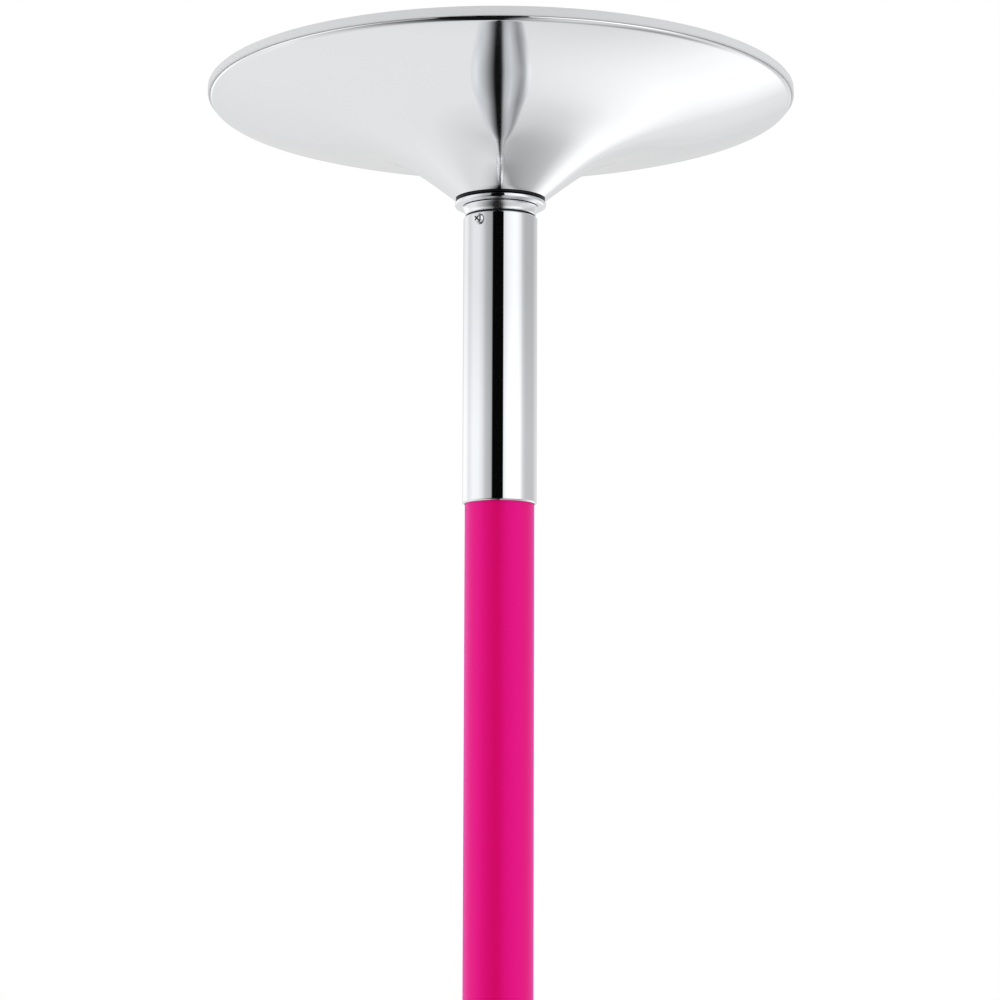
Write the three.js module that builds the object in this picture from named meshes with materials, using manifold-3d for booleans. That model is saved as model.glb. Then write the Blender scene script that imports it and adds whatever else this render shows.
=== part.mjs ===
// Floor-to-ceiling dance pole with a spun ceiling dome, chrome end tubes and a silicone-covered grip.
// Millimetres, +Z up. The origin is the middle of the foot, on the floor, and the pole's axis is Z.
// The adjuster is wound fully down, which is the pole's shortest setting.

import * as THREE from 'three';
import { mergeVertices } from 'three/addons/utils/BufferGeometryUtils.js';
import Module from 'manifold-3d';

const wasm = await Module();
wasm.setup();

// Clearances
const seatGap = 0.3;
const slideGap = 0.3;
const ballGap = 0.7;
const turnGap = 1.5;
const cutOverrun = 2;

// Facets round each kind of piece
const domeFacets = 40;
const footFacets = 32;
const tubeFacets = 20;
const ringFacets = 20;
const nutFacets = 24;
const cageFacets = 12;
const screwFacets = 8;
const hexSides = 6;
const clipFacets = 16;
const shellSteps = 8;
const trackSteps = 3;
const roundSteps = 2;

// Ceiling dome, spun from sheet, and the pad ring on its rim
const domeRadius = 183.7;
const domeDepth = 60.7;
const domeWall = 1.3;
const domeNeckRadius = 29.2;
const domeNeckSlope = 37.5;
const domeNeckReachShare = 0.45;
const domeRimSlope = 13;
const domeRimReachShare = 0.76;
const domeHemRadius = 0.7;
const ceilingPadThickness = 5.5;
const ceilingPadOverhang = 1.6;
const ceilingPadWidth = 27;
const ceilingPadRimInset = 2.5;
const ceilingPadRound = 0.9;

// Chrome end tubes
const chromeTubeRadius = 23.3;
const chromeTubeWall = 1.3;
const topTubeLength = 182;
const lowerTubeLength = 260;

// Silicone-covered grip on its steel core
const sleeveRadius = 21.7;
const sleeveSectionLength = 802;
const sleeveInset = 6;
const coreRadius = 19.05;
const coreWall = 2;
const coreInset = 66;

// Expanding joint between the two core tubes
const jointShellLength = 150;
const jointShellBore = 9;
const jointSlot = 2.4;
const jointScrewPitch = 74;
const jointScrewRadius = 3;
const jointScrewHeadRadius = 5;
const jointScrewHeadHeight = 4.5;
const jointScrewLength = 26;
const jointScrewHeading = 90;
const accessHoleRadius = 3.4;

// Top hub, which plugs the top tube and carries the dome's bearing
const hubGroove = 1.1;
const hubGrooveDepth = 0.7;
const collarHeight = 5.7;
const collarTopRadius = 24.4;
const collarFootRadius = 23.5;
const hubSpigotLength = 32;
const hubShaftRadius = 12.2;
const hubNeckRadius = 15;
const hubEndMargin = 1;
const flangeRingRadius = 28.9;
const flangeRingHeight = 3.3;
const flangeRingRound = 1.3;

// Bearing cup in the dome's neck
const cupFlangeInset = 1;
const cupFlangeHeight = 1;
const cupWall = 2;
const cupRoof = 3;
const cupCrownRoom = 3;
const cupNutHeight = 8;
const cupNutWall = 5;
const cupNutSlot = 4;
const cupNutSlots = 4;

// Ball bearings
const upperRaceWall = 3.8;
const upperBearingWidth = 12;
const upperBallRadius = 2.85;
const upperBalls = 6;
const lowerRaceWall = 4.2;
const lowerBearingWidth = 13;
const lowerBallRadius = 4;
const lowerBalls = 6;
const thrustRaceHeight = 4;
const thrustRaceBore = 14;
const thrustBallRadius = 3.2;
const thrustBalls = 6;
const thrustRaceRelief = 1;
const trackDepthShare = 0.4;
const cageHeightShare = 0.7;
const circlipHeight = 1.2;
const circlipGrip = 1;
const circlipReach = 2.4;
const circlipMouth = 50;

// Foot: rubber pad, steel plate, bearing housing and its chrome cover
const floorPadThickness = 5;
const floorPadLip = 3.5;
const floorPadLipHeight = 4;
const plateRadius = 120;
const plateThickness = 8;
const plateChamfer = 1;
const housingWall = 9;
const housingFloor = 4;
const housingBrim = 2.4;
const housingFlangeWidth = 15;
const housingFlangeHeight = 8;
const housingRound = 2;
const coverInset = 1.4;
const coverWall = 1.2;
const coverHemRadius = 1;
const coverNeckGap = 2.6;
const coverShoulder = 6;
const coverNeckSlope = 50;
const coverNeckReachShare = 0.3;
const coverRimSlope = 5;
const coverRimReachShare = 0.5;
const coverLipHeight = 3;

// Screws of the foot
const footScrews = 4;
const footScrewHeading = 45;
const footScrewRadius = 3;
const footScrewLength = 11;
const footScrewHeadRadius = 5;
const footScrewHeadHeight = 6;
const socketRadius = 2.4;
const socketDepth = 3;
const lockScrews = 2;
const lockScrewRadius = 4;
const lockScrewLength = 17;
const lockScrewTipRadius = 2.2;
const lockScrewTipLength = 4;
const lockScrewTravel = 3.2;
const lockGrooveDepth = 2.2;

// Spindle, adjuster nut and lock ring
const spindleRadius = 14;
const spindleChamfer = 1.5;
const spindleCollarHeight = 10;
const collarRoom = 2;
const keyWidth = 5;
const keyDepth = 2.2;
const nutRadius = 30;
const nutHeight = 30;
const nutChamfer = 1.5;
const nutFlutes = 8;
const fluteRadius = 5;
const fluteDepth = 1.8;
const lockRingRadius = 27;
const lockRingHeight = 12;
const lockRingTravel = 2.5;
const lockRingLift = 3;
const lockWasherHeight = 2;
const lockWasherWidth = 9;
const tommyHoles = 4;
const tommyHoleRadius = 3;
const tommyHoleDepth = 7;

// Plug in the foot of the lower tube, and the guide at the spindle's head
const footPlugFlange = 5;
const footPlugLength = 34;
const guideHeight = 14;
const guideBoltRadius = 4;
const guideBoltLength = 18;
const guideBoltHeadRadius = 7.5;
const guideBoltHeadHeight = 5.5;
const guideHeadMargin = 3.9;

// Pan-head screws that hold the hub and the foot plug in their tubes
const panHeadRadius = 3.8;
const panHeadHeight = 2.9;
const panShankRadius = 2;
const panShankLength = 7;
const topPanMargin = 0.5;
const footPanMargin = 5.5;
const panRoundShare = 0.55;
const screwHeading = -125;
const screwsPerPlug = 2;

// Finishes
function finish(color, roughness, metalness) {
  return new THREE.MeshStandardMaterial({ color, roughness, metalness });
}
const chrome = () => finish(0xe2e4e6, 0.06, 1);
const spunChrome = () => finish(0xdadcde, 0.2, 1);
const bearingSteel = () => finish(0xb4b8bc, 0.25, 1);
const blackSteel = () => finish(0x26272a, 0.5, 0.8);
const zincSteel = () => finish(0xa9adb0, 0.4, 1);
const castAluminium = () => finish(0x9c9fa2, 0.55, 1);
const greyRubber = () => finish(0xcfd0d1, 0.8, 0);
const blackRubber = () => finish(0x1d1d1f, 0.85, 0);
const nylon = () => finish(0xe9e6dc, 0.5, 0);
const pinkSilicone = () => finish(0xdb1a7c, 0.5, 0);

// Booleans
function solidOf(geometry) {
  const bare = geometry.clone();
  bare.deleteAttribute('normal');
  bare.deleteAttribute('uv');
  const merged = mergeVertices(bare);
  const corners = merged.index.array;
  const kept = [];
  for (let i = 0; i < corners.length; i += 3) {
    const [a, b, c] = [corners[i], corners[i + 1], corners[i + 2]];
    if (a !== b && b !== c && c !== a) kept.push(a, b, c);
  }
  return new wasm.Manifold(new wasm.Mesh({
    numProp: 3,
    vertProperties: new Float32Array(merged.attributes.position.array),
    triVerts: new Uint32Array(kept),
  }));
}

function geometryOf(solid) {
  const mesh = solid.getMesh();
  const geometry = new THREE.BufferGeometry();
  geometry.setAttribute('position', new THREE.BufferAttribute(new Float32Array(mesh.vertProperties), 3));
  geometry.setIndex(new THREE.BufferAttribute(new Uint32Array(mesh.triVerts), 1));
  geometry.computeVertexNormals();
  return geometry;
}

function cut(geometry, tools) {
  return geometryOf(tools.reduce((solid, tool) => solid.subtract(solidOf(tool)), solidOf(geometry)));
}

function join(geometry, additions) {
  return geometryOf(additions.reduce((solid, piece) => solid.add(solidOf(piece)), solidOf(geometry)));
}

// Shapes
// A profile is a list of [radius, height] points. One that starts and ends on the axis makes a solid.
function turned(profile, facets) {
  const solid = profile[0][0] === 0 && profile.at(-1)[0] === 0;
  const loop = solid ? profile : [...profile, profile[0]];
  const area = loop.reduce((sum, [r, z], i) => {
    const [nextR, nextZ] = loop[(i + 1) % loop.length];
    return sum + r * nextZ - nextR * z;
  }, 0);
  const ordered = area > 0 ? loop : [...loop].reverse();
  const geometry = new THREE.LatheGeometry(ordered.map(([r, z]) => new THREE.Vector2(r, z)), facets);
  return geometry.rotateX(Math.PI / 2);
}

function arc(centreR, centreZ, radius, fromDegrees, toDegrees, steps) {
  return Array.from({ length: steps + 1 }, (_, i) => {
    const angle = THREE.MathUtils.degToRad(fromDegrees + (toDegrees - fromDegrees) * i / steps);
    return [centreR + radius * Math.cos(angle), centreZ + radius * Math.sin(angle)];
  });
}

function ringProfile(inner, outer, low, high, chamfer = 0) {
  if (chamfer === 0) return [[inner, low], [outer, low], [outer, high], [inner, high]];
  return [
    [inner, low], [outer - chamfer, low], [outer, low + chamfer],
    [outer, high - chamfer], [outer - chamfer, high], [inner, high],
  ];
}

function ring(inner, outer, low, high, facets, chamfer = 0) {
  return turned(ringProfile(inner, outer, low, high, chamfer), facets);
}

// A rod along Z from low to high
function rod(radius, low, high, facets) {
  const geometry = new THREE.CylinderGeometry(radius, radius, high - low, facets);
  return geometry.rotateX(Math.PI / 2).translate(0, 0, (low + high) / 2);
}

// A rod along +X from inner to outer, at a height, turned to a heading about Z
function spoke(radius, inner, outer, height, heading, facets) {
  const geometry = rod(radius, inner, outer, facets).rotateY(Math.PI / 2);
  return geometry.translate(0, 0, height).rotateZ(THREE.MathUtils.degToRad(heading));
}

function block(sizeX, sizeY, low, high, offsetX) {
  const geometry = new THREE.BoxGeometry(sizeX, sizeY, high - low);
  return geometry.translate(offsetX, 0, (low + high) / 2);
}

function around(count, first = 0) {
  return Array.from({ length: count }, (_, i) => first + 360 * i / count);
}

// Points of a curve moved sideways by a distance, towards the left of its direction.
// They lie closer together towards the curve's end.
function offsetPoints(curve, distance, steps) {
  return Array.from({ length: steps + 1 }, (_, i) => {
    const share = Math.sin(Math.PI / 2 * i / steps);
    const point = curve.getPoint(share);
    const tangent = curve.getTangent(share);
    return [point.x - tangent.y * distance, point.y + tangent.x * distance];
  });
}

// A trumpet-shaped curve from a neck to a rim. Slopes are degrees from level, and upwards is +1 or -1.
function trumpet(neck, rim, neckSlope, rimSlope, neckShare, rimShare, upwards) {
  const span = rim[0] - neck[0];
  const neckAngle = THREE.MathUtils.degToRad(neckSlope);
  const rimAngle = THREE.MathUtils.degToRad(rimSlope);
  const neckReach = span * neckShare;
  const rimReach = span * rimShare;
  const neckHandle = new THREE.Vector2(Math.cos(neckAngle), upwards * Math.sin(neckAngle));
  const rimHandle = new THREE.Vector2(-Math.cos(rimAngle), -upwards * Math.sin(rimAngle));
  const start = new THREE.Vector2(...neck);
  const end = new THREE.Vector2(...rim);
  return new THREE.CubicBezierCurve(
    start,
    neckHandle.multiplyScalar(neckReach).add(start),
    rimHandle.multiplyScalar(rimReach).add(end),
    end,
  );
}

// Bearings
// Radii of a ball bearing from its bore outwards
function bearingRadii(bore, raceWall, ballRadius) {
  const innerFace = bore + raceWall;
  const ballCircle = innerFace + ballRadius * (1 - trackDepthShare);
  const outerFace = ballCircle + ballRadius * (1 - trackDepthShare);
  return { bore, innerFace, ballCircle, outerFace, outer: outerFace + raceWall };
}

// Half angle of a track, where its arc leaves the race's face
function trackHalfAngle(ballRadius) {
  return THREE.MathUtils.radToDeg(Math.acos(ballRadius * (1 - trackDepthShare) / (ballRadius + ballGap)));
}

function innerRace(radii, ballRadius, low, width) {
  const middle = low + width / 2;
  const half = trackHalfAngle(ballRadius);
  const track = arc(radii.ballCircle, middle, ballRadius + ballGap, 180 + half, 180 - half, trackSteps);
  const profile = [[radii.bore, low], [radii.innerFace, low], ...track, [radii.innerFace, low + width]];
  return turned([...profile, [radii.bore, low + width]], ringFacets);
}

function outerRace(radii, ballRadius, low, width) {
  const middle = low + width / 2;
  const half = trackHalfAngle(ballRadius);
  const track = arc(radii.ballCircle, middle, ballRadius + ballGap, half, -half, trackSteps);
  const profile = [[radii.outer, low], [radii.outer, low + width], [radii.outerFace, low + width]];
  return turned([...profile, ...track, [radii.outerFace, low]], ringFacets);
}

function ballsOn(circle, radius, height, count) {
  return around(count).map((heading) => {
    const ball = new THREE.IcosahedronGeometry(radius, 0).translate(circle, 0, height);
    return ball.rotateZ(THREE.MathUtils.degToRad(heading));
  });
}

function radialCage(radii, ballRadius, low, width, count) {
  const middle = low + width / 2;
  const room = radii.outerFace - radii.innerFace;
  const half = ballRadius * cageHeightShare;
  const inner = radii.innerFace + room * (1 - cageHeightShare) / 2;
  const outer = radii.outerFace - room * (1 - cageHeightShare) / 2;
  const band = ring(inner, outer, middle - half, middle + half, cageFacets);
  return join(band, ballsOn(radii.ballCircle, ballRadius, middle, count));
}

// A thrust race whose track opens upwards (+1) or downwards (-1) from its plain back face
function thrustRace(bore, circle, outer, back, up) {
  const face = back + up * thrustRaceHeight;
  const centre = face + up * thrustBallRadius * (1 - trackDepthShare);
  const half = trackHalfAngle(thrustBallRadius);
  const radius = thrustBallRadius + ballGap;
  const track = arc(circle, centre, radius, -up * (90 - half), -up * (90 + half), trackSteps);
  return turned([[bore, back], [outer, back], [outer, face], ...track, [bore, face]], ringFacets);
}

function thrustCage(circle, height, count) {
  const room = thrustBallRadius * (1 - trackDepthShare);
  const half = room * cageHeightShare;
  const reach = thrustBallRadius * cageHeightShare;
  const band = ring(circle - reach, circle + reach, height - half, height + half, cageFacets);
  return join(band, ballsOn(circle, thrustBallRadius, height, count));
}

// A snap ring: an open ring of flat section whose mouth faces +X
function circlip(inner, outer, low) {
  const mouth = THREE.MathUtils.degToRad(circlipMouth) / 2;
  const shape = new THREE.Shape();
  shape.absarc(0, 0, outer, mouth, 2 * Math.PI - mouth, false);
  shape.absarc(0, 0, inner, 2 * Math.PI - mouth, mouth, true);
  shape.closePath();
  const geometry = new THREE.ExtrudeGeometry(shape, {
    depth: circlipHeight, bevelEnabled: false, curveSegments: clipFacets / 2,
  });
  return geometry.translate(0, 0, low);
}

// Screws, each along +Z with the seat of its head at zero
function socketScrew(radius, length, headRadius, headHeight) {
  return turned([
    [0, -length], [radius, -length], [radius, 0], [headRadius, 0], [headRadius, headHeight],
    [socketRadius, headHeight], [socketRadius, headHeight - socketDepth], [0, headHeight - socketDepth],
  ], screwFacets);
}

function panScrew() {
  const crown = panHeadHeight * panRoundShare;
  const rounding = arc(panHeadRadius - crown, panHeadHeight - crown, crown, 0, 90, roundSteps);
  const shank = [[0, -panShankLength], [panShankRadius, -panShankLength], [panShankRadius, 0]];
  return turned([...shank, [panHeadRadius, 0], ...rounding, [0, panHeadHeight]], screwFacets);
}

function hexBolt(radius, length, headRadius, headHeight) {
  const head = rod(headRadius, 0, headHeight, hexSides);
  return join(head, [rod(radius, -length, seatGap, screwFacets)]);
}

// Assembly helpers
function add(parent, name, geometry, material) {
  const mesh = new THREE.Mesh(geometry, material);
  mesh.name = name;
  parent.add(mesh);
  return mesh;
}

// Places a screw along a spoke: the seat of its head at a radius and height, on a heading about Z
function addRadial(parent, name, geometry, material, seatRadius, height, heading) {
  const arm = new THREE.Group();
  arm.rotation.z = THREE.MathUtils.degToRad(heading);
  const mesh = add(arm, name, geometry, material);
  mesh.rotation.y = Math.PI / 2;
  mesh.position.set(seatRadius, 0, height);
  parent.add(arm);
}

// Radii that follow from one another
const lowerBearing = bearingRadii(spindleRadius + seatGap, lowerRaceWall, lowerBallRadius);
const upperBearing = bearingRadii(hubShaftRadius + seatGap, upperRaceWall, upperBallRadius);
const housingBore = lowerBearing.outer + seatGap;
const housingRadius = housingBore + housingWall;
const housingFlangeRadius = housingRadius + housingFlangeWidth;
const thrustOuter = housingBore - seatGap;
const thrustCircle = (thrustRaceBore + thrustOuter) / 2;
const chromeBore = chromeTubeRadius - chromeTubeWall;
const plugRadius = chromeBore - seatGap;
const sleeveBore = coreRadius + seatGap;
const coreBore = coreRadius - coreWall;
const nutBore = spindleRadius + slideGap;
const collarRadius = housingBore - collarRoom;

// Heights of the foot, from the floor up
const plateBottom = floorPadThickness + seatGap;
const plateTop = plateBottom + plateThickness;
const housingBottom = plateTop + seatGap;
const lowerRaceBack = housingBottom + housingFloor + seatGap;
const thrustBallHeight = lowerRaceBack + thrustRaceHeight + thrustBallRadius * (1 - trackDepthShare);
const upperRaceBack = 2 * thrustBallHeight - lowerRaceBack;
const collarBottom = upperRaceBack + seatGap;
const collarTop = collarBottom + spindleCollarHeight;
const lowerBearingLow = collarTop + seatGap;
const lowerBearingHigh = lowerBearingLow + lowerBearingWidth;
const housingClipLow = lowerBearingHigh + seatGap;
const housingTop = housingClipLow + circlipHeight + seatGap + housingBrim;
const lockRingLow = housingTop + lockRingTravel + lockRingLift;
const lockWasherLow = lockRingLow + lockRingHeight + seatGap;
const nutLow = lockWasherLow + lockWasherHeight + seatGap;
const nutHigh = nutLow + nutHeight;
const footPlugLow = nutHigh + seatGap;
const lowerTubeLow = footPlugLow + footPlugFlange + seatGap;
const lowerTubeHigh = lowerTubeLow + lowerTubeLength;

// Heights of the grip and the top, up to the ceiling
const sleeveLow = lowerTubeHigh - sleeveInset;
const seamHeight = sleeveLow + sleeveSectionLength;
const sleeveHigh = seamHeight + seatGap + sleeveSectionLength;
const topTubeLow = sleeveHigh - sleeveInset;
const topTubeHigh = topTubeLow + topTubeLength;
const coreLow = lowerTubeHigh - coreInset;
const coreHigh = topTubeLow + coreInset;
const guideHeadTop = coreLow - guideHeadMargin;
const spindleTop = guideHeadTop - guideBoltHeadHeight - guideHeight - 2 * seatGap;
const collarFoot = topTubeHigh + seatGap + hubGroove;
const collarHead = collarFoot + collarHeight;
const flangeRingLow = collarHead + seatGap;
const neckHeight = flangeRingLow + flangeRingHeight + turnGap;
const upperBearingLow = neckHeight + seatGap + circlipHeight;
const upperBearingHigh = upperBearingLow + upperBearingWidth;
const rimHeight = neckHeight + domeDepth;
const ceilingPadLow = rimHeight + 2 * domeHemRadius + seatGap;
const ceilingHeight = ceilingPadLow + ceilingPadThickness;

// Ceiling dome and the pieces that stay with it
const domeLipBore = upperBearing.outer + seatGap + cupWall + seatGap;

function domeCurve() {
  return trumpet(
    [domeNeckRadius, neckHeight + seatGap], [domeRadius - domeHemRadius, rimHeight],
    domeNeckSlope, domeRimSlope, domeNeckReachShare, domeRimReachShare, 1,
  );
}

function domeShell() {
  const outside = offsetPoints(domeCurve(), 0, shellSteps);
  const inside = offsetPoints(domeCurve(), domeWall, shellSteps).reverse();
  const hemMiddle = [domeRadius - domeHemRadius, rimHeight + domeHemRadius];
  const hem = arc(...hemMiddle, domeHemRadius, -90, 90, 2 * roundSteps);
  const lip = [
    [domeLipBore, neckHeight + domeWall], [domeLipBore, neckHeight],
    [domeNeckRadius - seatGap, neckHeight],
  ];
  return turned([...outside, ...hem.slice(1), ...inside.slice(1), ...lip], domeFacets);
}

function ceilingPad() {
  const outer = domeRadius + ceilingPadOverhang;
  const inner = domeRadius - ceilingPadWidth;
  const bed = offsetPoints(domeCurve(), domeWall + seatGap, shellSteps);
  const seat = bed.filter(([r]) => r > inner && r < domeRadius - ceilingPadRimInset);
  const lowEdge = arc(outer - ceilingPadRound, ceilingPadLow + ceilingPadRound, ceilingPadRound, -90, 0, 1);
  const highEdge = arc(outer - ceilingPadRound, ceilingHeight - ceilingPadRound, ceilingPadRound, 0, 90, 1);
  const bedFoot = [inner, seat[0][1]];
  const bedRim = [domeRadius - ceilingPadRimInset, ceilingPadLow];
  return turned([bedFoot, ...seat, bedRim, ...lowEdge, ...highEdge, [inner, ceilingHeight]], domeFacets);
}

function bearingCup() {
  const bore = upperBearing.outer + seatGap;
  const barrel = bore + cupWall;
  const flange = domeNeckRadius - cupFlangeInset;
  const flangeLow = neckHeight - seatGap - cupFlangeHeight;
  const shoulder = upperBearingHigh + seatGap;
  const ceiling = shoulder + cupCrownRoom;
  const clipLow = upperBearingLow - seatGap - circlipHeight - seatGap;
  return turned([
    [0, ceiling], [upperBearing.outerFace, ceiling], [upperBearing.outerFace, shoulder], [bore, shoulder],
    [bore, upperBearingLow - seatGap], [bore + circlipGrip, upperBearingLow - seatGap],
    [bore + circlipGrip, clipLow], [bore, clipLow], [bore, flangeLow], [flange, flangeLow],
    [flange, neckHeight - seatGap], [barrel, neckHeight - seatGap],
    [barrel, ceiling + cupRoof], [0, ceiling + cupRoof],
  ], ringFacets);
}

function cupNut() {
  const inner = upperBearing.outer + seatGap + cupWall + slideGap;
  const outer = inner + cupNutWall;
  const low = neckHeight + domeWall + seatGap;
  const high = low + cupNutHeight;
  const slope = THREE.MathUtils.degToRad(domeNeckSlope);
  const rise = (outer - domeNeckRadius) * Math.tan(slope) + domeWall / Math.cos(slope);
  const taperTop = neckHeight + seatGap + rise + seatGap;
  const slots = around(cupNutSlots).map((heading) => {
    const slot = block(cupNutWall, cupNutSlot, (taperTop + high) / 2, high + cutOverrun, outer);
    return slot.rotateZ(THREE.MathUtils.degToRad(heading));
  });
  return cut(turned([[inner, low], [outer, taperTop], [outer, high], [inner, high]], ringFacets), slots);
}

function buildDome() {
  const dome = new THREE.Group();
  const cupBore = upperBearing.outer + seatGap;
  const clipLow = upperBearingLow - seatGap - circlipHeight;
  add(dome, 'dome_shell', domeShell(), spunChrome());
  add(dome, 'ceiling_pad', ceilingPad(), greyRubber());
  add(dome, 'bearing_cup', bearingCup(), blackSteel());
  add(dome, 'cup_nut', cupNut(), zincSteel());
  const race = outerRace(upperBearing, upperBallRadius, upperBearingLow, upperBearingWidth);
  add(dome, 'upper_bearing_outer_ring', race, bearingSteel());
  const clip = circlip(cupBore - circlipReach, cupBore + circlipGrip - seatGap, clipLow);
  add(dome, 'cup_circlip', clip, blackSteel());
  return dome;
}

// Top hub: spigot in the tube, groove, tapered collar, neck under the bearing, shaft through it
function topHub() {
  const spigotLow = topTubeHigh - hubSpigotLength;
  const shaftTop = upperBearingHigh + seatGap + cupCrownRoom - hubEndMargin;
  const clipLow = upperBearingHigh + seatGap / 2;
  const clipHigh = clipLow + circlipHeight + seatGap;
  const grip = hubShaftRadius - circlipGrip;
  const grooveRadius = chromeTubeRadius - hubGrooveDepth;
  const body = turned([
    [0, spigotLow], [plugRadius, spigotLow], [plugRadius, topTubeHigh + seatGap],
    [grooveRadius, topTubeHigh + seatGap], [grooveRadius, collarFoot],
    [collarFootRadius, collarFoot], [collarTopRadius, collarHead], [hubNeckRadius, collarHead],
    [hubNeckRadius, upperBearingLow - seatGap], [hubShaftRadius, upperBearingLow - seatGap],
    [hubShaftRadius, clipLow], [grip, clipLow], [grip, clipHigh], [hubShaftRadius, clipHigh],
    [hubShaftRadius, shaftTop], [0, shaftTop],
  ], tubeFacets);
  return cut(body, panHoles(panHeightAtTop(), plugRadius + cutOverrun));
}

function panHeightAtTop() {
  return topTubeHigh - topPanMargin - panHeadRadius;
}

function panHeightAtFoot() {
  return lowerTubeLow + footPanMargin + panHeadRadius;
}

function panHoles(height, outer) {
  const inner = chromeTubeRadius + seatGap - panShankLength - seatGap;
  return around(screwsPerPlug, screwHeading).map(
    (heading) => spoke(panShankRadius + slideGap, inner, outer, height, heading, screwFacets),
  );
}

function chromeTube(low, high, holeHeight) {
  const tube = ring(chromeBore, chromeTubeRadius, low, high, tubeFacets);
  return cut(tube, panHoles(holeHeight, chromeTubeRadius + cutOverrun));
}

function flangeRing() {
  const high = flangeRingLow + flangeRingHeight;
  const round = flangeRingRound;
  const edge = [
    ...arc(flangeRingRadius - round, flangeRingLow + round, round, -90, 0, roundSteps),
    ...arc(flangeRingRadius - round, high - round, round, 0, 90, roundSteps),
  ];
  const bore = hubNeckRadius + seatGap;
  return turned([[bore, flangeRingLow], ...edge, [bore, high]], tubeFacets);
}

// Expanding joint: two half shells that a pair of screws pushes apart inside the cores
function jointShell(front) {
  const outer = coreBore - seatGap;
  const shape = new THREE.Shape();
  const slotAngle = Math.asin(jointSlot / 2 / outer);
  const boreAngle = Math.asin(jointSlot / 2 / jointShellBore);
  shape.absarc(0, 0, outer, slotAngle, Math.PI - slotAngle, false);
  shape.absarc(0, 0, jointShellBore, Math.PI - boreAngle, boreAngle, true);
  shape.closePath();
  const half = new THREE.ExtrudeGeometry(shape, {
    depth: jointShellLength, bevelEnabled: false, curveSegments: clipFacets / 4,
  });
  half.translate(0, 0, seamHeight - jointShellLength / 2);
  if (front) half.rotateZ(Math.PI);
  const head = jointHeadSeat();
  const bores = jointScrewHeights().flatMap((height) => {
    const where = [coreRadius, height, jointScrewHeading, screwFacets];
    const shank = spoke(jointScrewRadius + slideGap, head - jointScrewLength - seatGap, ...where);
    const pocket = spoke(jointScrewHeadRadius + slideGap, head, ...where);
    return [shank, pocket];
  });
  return cut(half, bores);
}

function jointHeadSeat() {
  const headTop = Math.sqrt((coreBore - seatGap) ** 2 - jointScrewHeadRadius ** 2);
  return headTop - jointScrewHeadHeight - seatGap;
}

function jointScrewHeights() {
  return [seamHeight - jointScrewPitch / 2, seamHeight + jointScrewPitch / 2];
}

function accessHole(height) {
  const outer = sleeveRadius + cutOverrun;
  return spoke(accessHoleRadius, jointShellBore, outer, height, jointScrewHeading, screwFacets);
}

function gripTube(inner, outer, low, high, height) {
  return cut(ring(inner, outer, low, high, tubeFacets), [accessHole(height)]);
}

function footPlug() {
  const bore = spindleRadius + slideGap;
  const high = lowerTubeLow + footPlugLength;
  const body = turned([
    [bore, footPlugLow], [chromeTubeRadius, footPlugLow], [chromeTubeRadius, lowerTubeLow - seatGap],
    [plugRadius, lowerTubeLow - seatGap], [plugRadius, high], [bore, high],
  ], tubeFacets);
  const drilled = cut(body, panHoles(panHeightAtFoot(), plugRadius + cutOverrun));
  return join(drilled, [keyBlock(footPlugLow, high)]);
}

// The key that runs in the spindle's keyway
function keyBlock(low, high) {
  const inner = spindleRadius - keyDepth + slideGap;
  const outer = spindleRadius + slideGap + keyDepth / 2;
  return block(outer - inner, keyWidth - 2 * slideGap, low, high, (inner + outer) / 2);
}

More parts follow.
